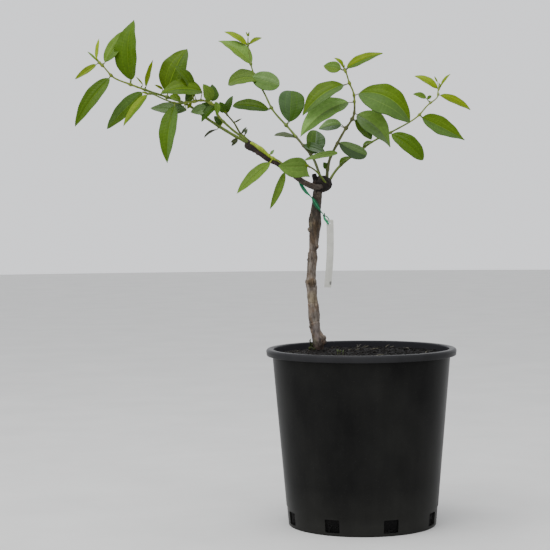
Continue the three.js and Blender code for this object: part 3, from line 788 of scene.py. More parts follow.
def leaf_finishes():
    """For each tone its upper side in a few shades, its lower side and its veins."""
    finishes = []
    for letter, (upper, lower, vein) in tones.items():
        # The tones with a painted sheen also get the glossier upper side.
        gloss = waxy_gloss if letter in waxy_painted_sheen_tones else usual_gloss
        for step, factor in enumerate(tone_shades):
            finishes.append(leaf_finish(f"leaf_{letter}{step}_upper", shade(upper, factor), gloss))
        finishes.append(leaf_finish(f"leaf_{letter}_lower", lower))
        finishes.append(leaf_finish(f"leaf_{letter}_vein", vein))
    return finishes


def tone_slots(letter, step):
    """The upper, lower and vein slots for a tone."""
    per_tone = len(tone_shades) + 2
    first = list(tones).index(letter) * per_tone
    return first + step, first + per_tone - 2, first + per_tone - 1


def stem_finish(name, color):
    finish = Finish(name, 0.4)
    fibres = finish.noise(420, 4, 0.6, finish.stretched(1, 1, 0.25))
    finish.color = finish.ramp(fibres, (0.3, shade(color, 0.78)), (0.72, shade(color, 1.12)))
    finish.rough(fibres, 0.45, 0.62)
    finish.bump((fibres, 0.4, 0.25), (finish.noise(1800, 2), 0.3, 0.1))
    return finish.done()


def bark_finish(name, light, mid, dark, top, along, marks=(), band=aged_band, aged=0.8, contrast=1.0):
    """Flaking bark: long flakes, darker cracks, and a darker skin towards the head and at the foot."""
    finish = Finish(name, 0.25)
    grain = finish.stretched(*along)
    flakes = finish.noise(230, 6, 0.65, grain)
    patches = finish.noise(75, 3, 0.5, grain)
    blotches = finish.noise(120, 5, 0.65, finish.stretched(1, 1, 0.6))
    brown = (mid[0], mid[1] * 0.88, mid[2] * 0.74)
    finish.color = finish.ramp(flakes, (0.32, dark), (0.47, mid), (0.63, light), (0.78, shade(light, 1.2)))
    finish.cover(finish.span(patches, 0.35, 0.7, 0.0, 0.65), shade(mid, 0.75))
    browned = finish.ramp(flakes, (0.35, shade(dark, 0.8)), (0.6, brown))
    finish.cover(finish.span(blotches, 0.47, 0.6, 0.0, 0.7), browned)
    finish.cover(finish.fade(finish.axis("Z"), *dull_band, 0.0, 0.34), dark)
    ruffled = finish.ruffled(150, 7)
    for spot, radius, darker, lighter, strength, tall in marks:
        inside = finish.near(ruffled, spot, radius, tall)
        finish.cover(inside, finish.ramp(flakes, (0.36, darker), (0.66, lighter)), strength)
    finish.cover(finish.fade(finish.ragged_height(patches, 12), *band, 0.0, aged), finish.ramp(
        flakes, (0.35, shade(top, 1 - 0.6 * contrast)), (0.52, top), (0.7, shade(top, 1 + 1.3 * contrast))))
    finish.cover(finish.fade(finish.ragged_height(flakes, 5), *damp_band, 0.88, 0.0), finish.ramp(
        flakes, *zip((0.35, 0.6, 0.75), damp_bark)))
    finish.rough(flakes, 0.7, 0.92)
    finish.bump((flakes, 0.7, 0.9), (finish.cells(300, grain), 0.35, 0.6), (finish.noise(1500), 0.4, 0.2))
    return finish.done()


def pot_finish():
    """Black moulded plastic with a satin skin, thin dust that gathers low down, and fine scuffs, with a
    painted highlight on the lip.
    """
    finish = Finish("pot_plastic", 0.045)
    dust = finish.noise(11, 5, 0.6, finish.stretched(1, 1, 0.7))
    streaks = finish.noise(60, 3, 0.6, finish.stretched(1, 1, 0.05))
    clouded = finish.number("ADD", dust, finish.span(streaks, 0.3, 0.7, -0.04, 0.04))
    low = finish.fade(finish.axis("Z"), *dust_band, 0.75, 0.0)
    finish.color = linear(pot_tones["skin"])
    finish.cover(finish.number("ADD", finish.span(clouded, 0.38, 0.68, 0.2, 0.62), low), pot_tones["dust"])
    # Painted highlight: the lip, out from the wall, is made lighter.
    painted_lip_highlight = finish.fade(finish.off_axis(), *lit_lip_band, 0.0, 0.85)
    finish.cover(painted_lip_highlight, finish.ramp(dust, *zip((0.3, 0.7), pot_tones["lip"])))
    within = finish.fade(finish.off_axis(), *inner_band, 0.8, 0.0)
    finish.cover(within, pot_tones["inside"], finish.fade(finish.axis("Z"), *bare_wall_band, 0.0, 1.0))
    specks = finish.ramp(finish.noise(700, 2), (0.66, (0, 0, 0)), (0.72, (255, 255, 255)))
    finish.cover(specks, pot_tones["specks"], 0.3)
    finish.rough(dust, 0.28, 0.44)
    finish.bump((finish.noise(1400, 2), 0.12, 0.12), (streaks, 0.1, 0.4), (dust, 0.1, 1.5))
    return finish.done()


def soil_finish(name, dark, light, scale):
    """Dark crumbs with painted light and shade: paler on the left, darker on the right, and near black low
    down in the drain holes.
    """
    finish = Finish(name, 0.2)
    crumbs = finish.noise(scale, 6, 0.7)
    finish.color = finish.ramp(crumbs, (0.35, dark), (0.6, light), (0.75, shade(light, 1.4)))
    # Painted shade on the right and low down in the drain holes, and painted light that makes the left
    # paler.
    finish.cover(finish.fade(finish.axis("X"), *shaded_right_band, 0.1, 0.6), soil_painted_shades["right"])
    paler = finish.ramp(crumbs, (0.35, shade(dark, 1.7)), (0.6, shade(light, 1.7)))
    finish.cover(finish.fade(finish.axis("X"), *lit_left_band, 0.45, 0.0), paler)
    finish.cover(finish.fade(finish.axis("Z"), *shaded_hole_band, 0.75, 0.0), soil_painted_shades["holes"])
    finish.rough(crumbs, 0.85, 0.98)
    finish.bump((crumbs, 0.9, 1.2), (finish.noise(scale * 5, 4), 0.6, 0.4))
    return finish.done()


def plain_finish(name, color, roughness, grain, spread, depth, specular, smudge=None):
    """One colour, uneven by spread, with bumps of a depth in millimetres, and perhaps a dark smudge."""
    finish = Finish(name, specular)
    cloud = finish.noise(grain, 4, 0.6)
    finish.color = finish.ramp(cloud, (0.3, shade(color, 1 - spread)), (0.7, shade(color, 1 + spread)))
    if smudge:
        finish.cover(finish.near(finish.ruffled(600, 3), *smudge, 1.3), shade(color, 0.45), 0.8)
    finish.rough(cloud, roughness - 0.07, roughness + 0.07)
    finish.bump((finish.noise(grain * 4), 0.4, depth))
    return finish.done()


leaf_materials = leaf_finishes()
stem_materials = [stem_finish(f"stem_{name}", color) for name, color in stem_tones.items()]
stem_slots = {name: index for index, name in enumerate(stem_tones)}
bark = bark_finish("bark", **bark_tones["trunk"], along=(1, 1, 0.3), marks=trunk_marks)
head_bark = bark_finish("head_bark", **bark_tones["head"], along=(1, 1, 0.8))
bough_bark = bark_finish(
    "bough_bark", **bark_tones["bough"], along=(0.35, 1, 0.7), band=aged_bough_band, aged=0.9, contrast=0.4)
pot_plastic = pot_finish()
soil_dark = soil_finish("soil_dark", (12, 12, 11), (26, 24, 23), 420)
soil_crumb = soil_finish("soil_crumb", (14, 13, 12), (42, 38, 34), 500)
straw = plain_finish(
    "straw", (84, 80, 66), roughness=0.6, grain=500, spread=0.3, depth=0.15, specular=0.4)
tie_bright = plain_finish(
    "tie_bright", (20, 118, 76), roughness=0.42, grain=300, spread=0.2, depth=0.3, specular=0.35)
# The dull tape: dirt and painted shade where the tape wraps and overlaps.
tie_dull = plain_finish(
    "tie_dull", (6, 66, 40), roughness=0.5, grain=300, spread=0.3, depth=0.3, specular=0.3)
tag_plastic = plain_finish(
    "tag_plastic", (183, 183, 175), roughness=0.5, grain=90, spread=0.05, depth=0.1, specular=0.3,
    smudge=tag_smudge)
floor_plain = plain_finish(
    "floor_plain", (205, 205, 203), roughness=0.85, grain=6, spread=0.02, depth=0.4, specular=0.2)


# Leaves, planned as the solids are
def leaf_between(root, foot, tip, width, roll, bow, tip_power=usual_tip_power):
    """A leaf's plan. roll turns its upper side from the viewer towards the sky, in degrees."""
    axis = unit(tip - foot)
    viewer = seen((eye["across"], eye["up"], -eye["distance"])) - foot
    viewer = unit(viewer - axis * (viewer @ axis))
    skyward = np.cross(viewer, axis)
    skyward *= np.sign(skyward[2] if abs(skyward[2]) > nearly_upright else skyward[0])
    angle = math.radians(roll)
    face = viewer * math.cos(angle) + skyward * math.sin(angle)
    return {
        "root": root, "foot": foot, "tip": tip, "axis": axis, "face": face, "side": np.cross(axis, face),
        "width": width, "bow": bow, "tip_power": tip_power, "length": np.linalg.norm(tip - foot),
    }


def leaf_plan(stops, row):
    """The plan of a leaf row, on the stem's stop that looks nearest to its foot."""
    foot_across, foot_up, tip_across, tip_up, tip_back, *form = row
    near, stop = min(
        ((math.hypot(stop["across"] - foot_across, stop["up"] - foot_up), stop) for stop in stops),
        key=lambda pair: pair[0],
    )
    foot_back = stop["back"] + foot_depth * near * (tip_back > 0) - foot_depth * near * (tip_back < 0)
    foot = seen((foot_across, foot_up, foot_back))
    tip = seen((foot_across + tip_across, foot_up + tip_up, foot_back + tip_back))
    return leaf_between(stop["place"], foot, tip, *form)


def outline_at(share, tip_power):
    widest = foot_power / (foot_power + tip_power)
    most = widest**foot_power * (1 - widest) ** tip_power
    outline = np.clip(share, 0, 1) ** foot_power * np.clip(1 - share, 0, 1) ** tip_power / most
    return np.maximum(0.05, outline)


def blade_point(plan, edge, share):
    """A point of the folded blade. edge goes from -1 to 1 over its width."""
    half = plan["width"] / 2 * outline_at(share, plan["tip_power"])
    rise = plan["length"] * plan["bow"] * 4 * share * (1 - share)
    return (
        plan["foot"] + plan["axis"] * plan["length"] * share
        + plan["side"] * edge * half * math.cos(blade_fold)
        + plan["face"] * (rise + abs(edge) * half * math.sin(blade_fold))
    )


def leaf_points(plan):
    return [blade_point(plan, edge, share) for share in far["tested"] for edge in (-1, 0, 1)]


def far_leaf(plan, draw):
    """A leaf more from the same root, behind the one in the plan."""
    def within(span):
        return span[0] + span[1] * draw()

    def behind(share, depth):
        across, up, back = pictured(blade_point(plan, 0, share))
        return seen((across, up, back + depth))

    foot = behind(far["foot_share"], far["foot_behind"])
    tip = behind(within(far["tip_share"]), within(far["tip_behind"]))
    width = plan["width"] * within(far["narrow"])
    return leaf_between(plan["root"], foot, tip, width, within(far["roll"]), far["bow"])


def stem_stops(curve):
    """Places along the stem of the solids, a few between each ring and the next."""
    rings = max(fewest_rings, math.floor(curve.length / stem_ring_gap + 0.5))
    stops = []
    for ring in range(rings):
        start, end = curve.at(ring / rings), curve.at((ring + 1) / rings)
        for step in range(stops_per_ring):
            place = start + (end - start) * step / stops_per_ring
            across, up, back = pictured(place)
            stops.append({"across": across, "up": up, "back": back, "place": place})
    return stops


def plan_shoots():
    """First every leaf that is listed, then the far ones, each skipped where it lacks room."""
    plans = []
    for name, shoot in shoots.items():
        curve = curve_through(shoot["route"])
        stops = stem_stops(curve)
        leaves = [leaf_plan(stops, row) for row in shoot["leaves"]]
        plans.append({"name": name, "shoot": shoot, "curve": curve, "stops": stops, "leaves": leaves})
    draw = random_from(far["seed"])
    limbs = [
        place for curve, stops in ((trunk_curve, trunk_stops), (bough_curve, bough_stops))
        for place in curve.at(np.linspace(0, 1, stops))
    ]
    for plan in plans:
        stems = [stop["place"] for other in plans if other is not plan for stop in other["stops"]]
        for leaf in [leaf for leaf in plan["leaves"] if leaf["width"] >= far["from_width"]]:
            chance = draw()
            extra = far_leaf(leaf, draw)
            others = [
                point for other in plans for near in other["leaves"] if near is not leaf
                for point in leaf_points(near)
            ]
            others = np.array([*limbs, *stems, *others])
            gaps = [np.linalg.norm(others - point, axis=1).min() for point in leaf_points(extra)]
            if chance < far["chance"] and min(gaps) > far["room"]:
                plan["leaves"].append(extra)
    for plan in plans:
        for tone, *row in plan["shoot"].get("small_leaves", []):
            plan["leaves"].append({**leaf_plan(plan["stops"], row), "tone": tone})
    return plans


# The finer leaf: a thin toothed blade
def blade_steps(length):
    """Shares of the length, closer at both ends, and how far the margin sticks out there as a tooth."""
    teeth = max(fewest_teeth, round(length / tooth_gap))
    steps = np.array([(k + step) / teeth for k in range(teeth) for step, _ in tooth_steps] + [1.0])
    bite = np.array([depth for _, depth in tooth_steps] * teeth + [0.0])
    share = evenly_spaced * steps + (1 - evenly_spaced) * (3 * steps**2 - 2 * steps**3)
    share[-1] = 0.995
    return share[:, None], bite[:, None]


def blade_relief(share, edge, half, length):
    """The blade's skin: sunk along the midrib and the side veins, swollen and ribbed between them."""
    reach = np.abs(edge)
    veins = midrib_depth * hump(edge, 0, vein_width) + side_vein_depth * hump(reach, side_vein, vein_width)
    veins = veins * np.clip(half / 6, 0.15, 1) * (1 - 0.6 * share)
    swell = swell_height * np.sin(math.pi * np.clip(reach / side_vein, 0, 1)) * np.clip(half / 12, 0, 1.2)
    ribs = np.sin(2 * math.pi * (share * length / rib_gap - 1.5 * reach)) * rib_height
    ribs = ribs * np.clip(half / 8, 0, 1.2) * np.sin(math.pi * np.clip(reach, 0, 0.98))
    return swell + ribs - veins


def blade_slots(tone, skyward, step):
    """Slots over the columns of the upper side, and back over those of the lower side. skyward is 1 or -1,
    the sign of the half towards the sky."""
    upper, lower = [], []
    for middle in (columns[:-1] + columns[1:]) / 2:
        # The half away from the sky takes the second letter: the fold's light, shade and sheen painted into
        # its colour.
        letter = tone[0] if middle * skyward > 0 else tone[-1]
        top_slot, lower_slot, vein_slot = tone_slots(letter, step)
        on_midrib = abs(middle) < 0.03
        on_side_vein = abs(abs(middle) - side_vein) < 0.02
        upper.append(vein_slot if on_midrib or on_side_vein else top_slot)
        lower.append(vein_slot if on_midrib else lower_slot)
    return np.array(upper + lower[::-1])[None, :]


def fine_blade(heap, plan, tone, rng, lobe=0, belly=0, midrib_rise=0, blunt=0):
    """A finer leaf. lobe fills out the lower half at the foot, belly widens it before the middle,
    midrib_rise moves the midrib up and blunt rounds the tip."""
    length, half_width = plan["length"], plan["width"] / 2
    share, bite = blade_steps(length)
    edge = columns[None, :]
    reach = np.abs(edge)
    skyward = math.copysign(1, plan["side"][2])
    lower_half = np.clip(-edge * skyward * 8, 0, 1)
    filling = lobe * hump(share, 0, 0.3) * lower_half
    bulge = belly * hump(share, 0.4, 0.2) * lower_half
    outline = outline_at(share, plan["tip_power"] - blunt)
    half = half_width * (outline + filling * (1.04 - outline) + bulge)
    depth = min(tooth_depth, 0.05 * plan["width"])
    margin = 1 + bite * depth / half * reach**10 * (share < 0.97)

    phases = [rng.uniform(0, 2 * math.pi) for _ in range(2)]
    phase = np.where(edge < 0, *phases)
    ripple = ripple_share * half_width * reach**2.5 * np.sin(
        2 * math.pi * share * (1.6 + length / 40) + phase)
    droop = -length * rng.uniform(*droop_share) * share**4
    twist = math.radians(rng.uniform(-most_twist, most_twist)) * (share - 0.3)
    bow = length * plan["bow"] * 4 * share * (1 - share)
    rise = bow + droop + ripple + blade_relief(share, edge, half, length)
    fold = reach**1.25 * half * math.sin(blade_fold)
    sideways = (edge + skyward * midrib_rise * (1 - reach)) * half * math.cos(blade_fold) * margin
    along = length * (share - 0.1 * filling * reach**2 * (1 - share))

    def surface(lift):
        over = fold + lift
        side = sideways * np.cos(twist) - over * np.sin(twist) * np.sign(edge + 1e-9) * reach
        up = rise + over + sideways * np.sin(twist)
        return (
            plan["foot"] + along[..., None] * plan["axis"]
            + side[..., None] * plan["side"] + up[..., None] * plan["face"]
        )

    thick = blade_thickness * (1 - reach**3) / 2 + 0.02
    keel = keel_depth * hump(edge, 0, 0.06) * (1 - share) * np.clip(half / 8, 0.2, 1)
    top, bottom = surface(thick), surface(-thick - keel)
    rings = np.concatenate([top, bottom[:, -2:0:-1]], axis=1)
    heap.rings(rings, blade_slots(tone, skyward, rng.randrange(len(tone_shades))))


def stalk(heap, plan, slot):
    """The leaf stalk: a thin curved tube, swollen at its foot, that runs into the midrib."""
    root, foot, face = plan["root"], plan["foot"], plan["face"]
    inside = blade_point(plan, 0, 0.07) - face * 0.35
    bend = (root + foot) / 2 - np.array([0, 0, 0.06]) * np.linalg.norm(foot - root)
    walk = np.linspace(0, 1, 12)
    line = Curve([root, bend, foot - face * 0.2, inside], 12).at(walk)
    thick = min(0.95, plan["width"] / 4.5 + 0.25)
    heap.rings(tube_rings(line, thick * (0.62 + 0.55 * np.exp(-walk * 7) - 0.25 * walk**4), 8), slot)


def turn_to(axis):
    """Rows that take a ball's long way, its z, to the axis."""
    axis = unit(np.array(axis, float))
    first = unit(np.cross(axis, np.eye(3)[np.argmin(np.abs(axis))]))
    return np.array([first, np.cross(axis, first), axis])


def spine(heap, at, way, length, slot):
    walk = np.linspace(0, 1, 5)
    line = at + unit(way) * (walk * length)[:, None]
    line[:, 2] += walk**2 * length * 0.25
    heap.rings(tube_rings(line, spine_radius * np.linspace(1, 0.08, 5), 6), slot)


def stem_radii(plan, share, line, rng):
    """A stem's radii: its taper and swelling, its joints at the leaves and its rounded tip."""
    start, end = plan["shoot"]["radii"]
    middle, spread, more = plan["shoot"].get("swelling", (0, 1, 0))
    radii = fuller * (start + (end - start) * share) * (1 + more * hump(share, middle, spread))
    most = radii + highest_joint * start
    for leaf in plan["leaves"]:
        if leaf["width"] > jointed_from:
            gap = np.linalg.norm(line - leaf["root"], axis=1)
            radii = radii + joint_height * start * hump(gap, 0, joint_spread)
    radii = np.minimum(radii, most)
    radii = radii * (1 + 0.05 * np.sin(share * plan["curve"].length / 2.3 + rng.uniform(0, 6)))
    radii[-4:] *= [0.95, 0.8, 0.6, 0.3]
    return radii


def fine_stem(heap, plan, rng):
    """The stem with its joints, and a stalk, a bud and two small spines at each leaf."""
    share = np.linspace(0, 1, int(plan["curve"].length / 1.1))
    line = plan["curve"].at(share)
    ridged = stem_radii(plan, share, line, rng)[:, None] * (1 + 0.05 * np.cos(3 * turns(12) + 2)[None, :])
    first, middle, last = (stem_slots[tone] for tone in plan["shoot"]["dress"])
    dress = np.where(share < 0.3, first, np.where(share < 0.68, middle, last))
    heap.rings(tube_rings(line, ridged, 12), dress[:-1, None])
    for leaf in plan["leaves"]:
        root = leaf["root"]
        if np.linalg.norm(leaf["foot"] - root) < shortest_stalk:
            continue
        stalk(heap, leaf, middle)
        way = unit(leaf["foot"] - root)
        bud = root + way * bud_out * plan["shoot"]["radii"][0] + np.array([0, 0, bud_up])
        heap.add((ball_points * bud_half) @ turn_to(way + [0, 0, bud_lean]) + bud, ball_faces, middle)
        side = unit(np.cross(way, [0, 0, 1]) + 1e-6)
        if leaf["width"] > spined_from:
            for turn in (-1, 1):
                spine(heap, root, side * turn + way * 0.3, rng.uniform(*spine_length), middle)


def grow_tip(heap, plan, rng):
    """Small unfolding leaves at the shoot's end."""
    end = plan["curve"].at(1.0)
    way = unit(end - plan["curve"].at(0.94))
    for k in range(3):
        angle = k * 2.1 + rng.uniform(0, 1)
        lean = np.array([math.cos(angle), math.sin(angle) * 0.8, 0.3])
        tip = end + (way + lean * 0.55) * rng.uniform(3.5, 6.5)
        small = leaf_between(end, end - way * 0.4, tip, rng.uniform(1.4, 2.4), rng.uniform(0, 40), 0.1)
        fine_blade(heap, small, "y", rng)


def dress_shoots(plans):
    rng = random.Random(leaf_seed)
    for plan in plans:
        name, shoot = plan["name"], plan["shoot"]
        letters, forms = shoot["tones"].split(), shoot.get("forms", {})
        leaves, twigs = Heap(), Heap()
        for index, leaf in enumerate(plan["leaves"]):
            tone = letters[index] if index < len(letters) else leaf.get("tone", far_tone)
            fine_blade(leaves, leaf, tone, rng, **forms.get(index, {}))
        fine_stem(twigs, plan, rng)
        grow_tip(leaves, plan, rng)
        settle(leaves.piece(f"{name}_leaves", leaf_materials), "foliage", name)
        settle(twigs.piece(f"{name}_twigs", stem_materials), "foliage")


# Bark: limbs and lumps grown into one skin, then raised into flakes along the grain
def add_limb(heap, curve, radius_at, sides, steps):
    share = np.linspace(0, 1, steps)
    radii = np.array([[radius_at(s, angle) for angle in turns(sides)] for s in share])
    heap.rings(tube_rings(curve.at(share), radii, sides))


def add_knobs(heap, knobs):
    for at, radius in knobs:
        heap.add(ball_points * radius + seen(at), ball_faces)


def trunk_radius(share, angle):
    height = trunk_curve.at(share)[2]
    radius = trunk_foot_radius + (trunk_top_radius - trunk_foot_radius) * share
    radius += sum(extra * hump(height, up, spread) for up, extra, spread in trunk_swellings)
    return radius * (1 + 0.04 * math.sin(2 * angle + height / 17) + 0.03 * math.sin(3 * angle + height / 9))


def bough_radius(share, _angle):
    place = min(share, 0.9999) * (len(bough_radii) - 1)
    low = int(place)
    radius = bough_radii[low] + (bough_radii[low + 1] - bough_radii[low]) * (place - low)
    from_end = min(1, min(share, 1 - share) * 16)
    return radius * (0.45 + 0.55 * math.sqrt(from_end))


def grown_together(heap, name, voxel):
    """The heap's closed parts as one skin of even faces."""
    return reshaped(heap.piece(name + "_rough"), "REMESH", mode="VOXEL", voxel_size=voxel * MM)


def raise_bark(mesh, along, relief):
    """Moves each point out by its relief, in millimetres. For long flakes the relief also has the point
    shortened along the grain."""
    points = np.array([vertex.co[:] for vertex in mesh.vertices]) / MM
    normals = np.array([vertex.normal[:] for vertex in mesh.vertices])
    lifts = np.array([relief(point, Vector(point - along * (point @ along) * 0.78)) for point in points])
    points = (points + normals * lifts[:, None]) * MM
    mesh.vertices.foreach_set("co", points.ravel())
    mesh.update()


def trunk_relief(point, grain):
    """Ridges, flakes and fine grain, low rings round the trunk, and lumps on the graft head."""
    ridges = noise.noise(grain * 0.32)
    flakes = abs(noise.noise(grain * 0.75 + Vector((9, 2, 5))))
    fine = noise.noise(grain * 1.9)
    lift = 0.5 * ridges + 0.75 * (0.28 - flakes) + 0.18 * fine + 1.1 * noise.noise(Vector(point * 0.085))
    for up in trunk_rings:
        gap = point[2] - up - 2.5 * noise.noise(Vector(point * 0.16))
        lift += 0.2 * hump(gap, 0, 1.8) - 0.45 * hump(gap, 2.4, 0.7)
    off_head = max(0, np.linalg.norm(point - head_centre) - head_half[0])
    on_head = hump(off_head, 0, 3.5)
    lumps = noise.noise(Vector(point * 0.21)) * 1.5 + abs(noise.noise(Vector(point * 0.5))) * 1.1 - 0.5
    return lift * (1 - 0.5 * on_head) + lumps * on_head


def bough_relief(point, grain):
    wrinkles = noise.noise(Vector(point * [0.9, 0.35, 0.5]))
    return 0.3 * noise.noise(grain * 0.5) + 0.28 * wrinkles + 0.14 * noise.noise(grain * 2.0)


def make_trunk():
    heap = Heap()
    add_limb(heap, trunk_curve, trunk_radius, sides=40, steps=160)
    stub_line = np.linspace(seen(stub_from), seen(stub_to), len(stub_taper))
    heap.rings(tube_rings(stub_line, stub_radius * np.array(stub_taper), 16))
    lumpy, lumpy_faces = ball_mesh(4)
    heap.add(lumpy * head_half + head_centre, lumpy_faces)
    add_knobs(heap, trunk_knobs)
    mesh = grown_together(heap, "trunk", voxel=0.62)
    raise_bark(mesh, np.array([0, 0, 1.0]), trunk_relief)
    centres = np.array([face.center[:] for face in mesh.polygons]) / MM
    jitter = np.array([noise.noise(Vector(centre * 0.35)) for centre in centres])
    piece = show("trunk_bark", mesh, [bark, head_bark])
    mesh.polygons.foreach_set("material_index", (centres[:, 2] > head_bark_from + 6 * jitter).astype(int))
    settle(piece, "bark", "trunk")


def make_bough():
    heap = Heap()
    add_limb(heap, bough_curve, bough_radius, sides=32, steps=120)
    add_knobs(heap, bough_knobs)
    mesh = grown_together(heap, "bough", voxel=0.55)
    raise_bark(mesh, unit(seen(bough_route[-1]) - seen(bough_route[2])), bough_relief)
    settle(show("bough_bark", mesh, [bough_bark]), "young_bark", "bough_left")


# Pot
def pot_wall_radius(height):
    above_band = foot_radius + foot_band_step
    full = above_band + (shoulder_radius - foot_radius - foot_band_step) * height / pot_height
    return full - foot_band_step if height < foot_band_height else full


def arc(centre, radius, start, end, steps):
    angles = np.radians(np.linspace(start, end, steps))
    return [(centre[0] + radius * math.cos(a), centre[1] + radius * math.sin(a)) for a in angles]


def turned(profile, sides):
    """Rings round the axis from a profile of radius and height."""
    radii, heights = np.array(profile).T
    angles = turns(sides)
    flat = [np.outer(radii, np.cos(angles)), np.outer(radii, np.sin(angles))]
    return np.stack([*flat, np.repeat(heights[:, None], sides, axis=1)], axis=-1)


def make_pot():
    """The pot: its profile goes up the outside, over the lip and down to the floor. Then holes are cut."""
    under, neck, bead, rim, inner = 1.1, 1.4, 0.8, 3.4, 1.6
    lip_foot = pot_height - lip_height
    inside = [(pot_wall_radius(z) - wall, z) for z in np.linspace(pot_height - 3, foot_band_height + 1, 14)]
    outside = [(pot_wall_radius(z), z) for z in np.linspace(foot_band_height + 0.7, lip_foot + 3, 16)]
    profile = [
        (centre_radius, 0), (foot_radius - under - 0.1, 0),
        *arc((foot_radius - under, under), under, -80, 0, 4),
        (pot_wall_radius(12), 12), (pot_wall_radius(foot_band_height - 0.7), foot_band_height - 0.7),
        *outside,
        *arc((outside[-1][0] + neck, lip_foot + rim), neck, 180, 90, 4),
        (rim_radius - rim, lip_foot + 4.6), (rim_radius - 2.2, lip_foot + rim),
        *arc((rim_radius - 1.35, lip_foot + bead), bead, 180, 350, 6),
        *arc((rim_radius - rim, pot_height - rim), rim, 5, 90, 8),
        (shoulder_radius + 1.2, pot_height - 0.2),
        *arc((inside[0][0] + inner, pot_height - 1.8), inner, 95, 180, 5),
        *inside,
        (pot_wall_radius(floor_thickness) - wall, floor_thickness), (centre_radius, floor_thickness),
    ]
    heap, cutters = Heap(), Heap()
    heap.rings(turned(profile, pot_sides))
    for angle in first_hole_angle + turns(hole_count):
        cutters.rings(drain_cutter(angle))
    cutter = cutters.piece("drain_cutters")
    mesh = reshaped(
        heap.piece("pot_shell"), "BOOLEAN", operation="DIFFERENCE", solver="EXACT", object=cutter)
    bpy.data.objects.remove(cutter)
    settle(show("pot_shell", mesh, [pot_plastic], 38), "pot_plastic", "pot")


def drain_cutter(angle):
    """A rounded bar that stands through the wall."""
    side, low, high = hole_width / 2 - hole_corner, hole_corner, hole_height - hole_corner
    outline = []
    for centre, start in (((side, low), -90), ((side, high), 0), ((-side, high), 90), ((-side, low), 180)):
        outline += arc(centre, hole_corner, start, start + 90, 6)
    outline = np.array(outline)
    out = np.array([math.cos(angle), math.sin(angle), 0])
    way = np.array([-math.sin(angle), math.cos(angle), 0])
    return np.array([
        out * reach + outline[:, :1] * way + (outline[:, 1:] + hole_above_ground) * [0, 0, 1]
        for reach in (foot_radius - 4 * wall, foot_radius + 4 * wall)
    ])


# Soil
def soil_reach(height):
    return pot_wall_radius(height) - wall - clearance


soil_top_radius = soil_reach(soil_level - 2)


def soil_height(x, y):
    """A mound round the trunk's foot, with swells and fine lumps."""
    place = Vector((x, y, 0))
    from_trunk = np.linalg.norm(trunk_curve.at(0)[:2] - (x, y))
    swells = 1.5 * noise.noise(place * 0.03) + 1.3 * noise.noise(place * 0.12)
    lumps = 0.8 * abs(noise.noise(place * 0.4)) - 0.6
    return soil_level + mound_height * hump(from_trunk, 0, mound_radius) + swells + lumps


def make_soil():
    bed = [(soil_reach(z), z) for z in (
        floor_thickness + clearance, foot_band_height - 1, foot_band_height + 1, 120, soil_level - 3)]
    ground = turned([(radius, 0) for radius in np.linspace(soil_top_radius, 2, 70)], soil_sides)
    ground[..., 2] = [[soil_height(x, y) for x, y, _ in ring] for ring in ground]
    heap = Heap()
    heap.rings(np.concatenate([turned(bed, soil_sides), ground]))
    settle(heap.piece("soil_bed", [soil_dark]), "potting_mix", "soil")


def scatter_crumbs(rng):
    """All over the soil, more round the trunk's foot, and some in the drain holes."""
    crumbs = Heap()
    for _ in range(crumb_count):
        radius, angle = soil_top_radius * math.sqrt(rng.random()) - 2, rng.uniform(0, 2 * math.pi)
        crumb(crumbs, polar(radius, angle), rng)
    for _ in range(foot_crumb_count):
        radius, angle = rng.uniform(7, mound_radius), rng.uniform(0, 2 * math.pi)
        crumb(crumbs, trunk_curve.at(0)[:2] + polar(radius, angle), rng)
    for hole_angle in first_hole_angle + turns(hole_count):
        for _ in range(hole_crumb_count):
            angle = hole_angle + rng.uniform(-0.1, 0.1)
            radius = soil_reach(10) - rng.uniform(-0.6, 1.2)
            height = hole_above_ground + rng.uniform(1, hole_height - 2)
            crumb(crumbs, polar(radius, angle), rng, height)
    settle(crumbs.piece("soil_crumbs", [soil_dark, soil_crumb]), "potting_mix")


def crumb(heap, spot, rng, height=None):
    """A crumb of soil or a flat chip, half sunk in the surface or at a height of its own."""
    chip = rng.random() < 0.3
    size = rng.uniform(0.6, 1.9)
    shape = size * np.array([1.8, 0.7, 0.3] if chip else [1, 0.8, 0.7])
    points = ball_points * (1 + 0.25 * np.sin(ball_points[:, [1, 2, 0]] * 4 + rng.uniform(0, 6))) * shape
    turn = Matrix.Rotation(rng.uniform(0, 6.3), 3, "Z") @ Matrix.Rotation(rng.uniform(-0.6, 0.6), 3, "X")
    if height is None:
        height = soil_height(*spot) + 0.2 * size
    heap.add(points @ np.array(turn) + [*spot, height], ball_faces, int(rng.random() < 0.35))


def make_straws(rng):
    heap = Heap()
    walk = np.linspace(-0.5, 0.5, 12)
    for (x, y), length, turn, rise in straws:
        crook = rng.uniform(-0.18, 0.18) * length
        along, aside = length * walk, crook * (1 - 4 * walk**2)
        level = soil_height(x, y) + 0.9 + 0.5 * length * rise
        line = np.stack([
            x + along * math.cos(turn) - aside * math.sin(turn),
            y + along * math.sin(turn) + aside * math.cos(turn),
            level + along * rise + 0.25 * crook * np.sin(5 * walk),
        ], axis=-1)
        heap.rings(tube_rings(line, rng.uniform(0.3, 0.48) * (1 - 2.2 * walk**2), 6))
    settle(heap.piece("soil_straws", [straw]), "potting_mix")


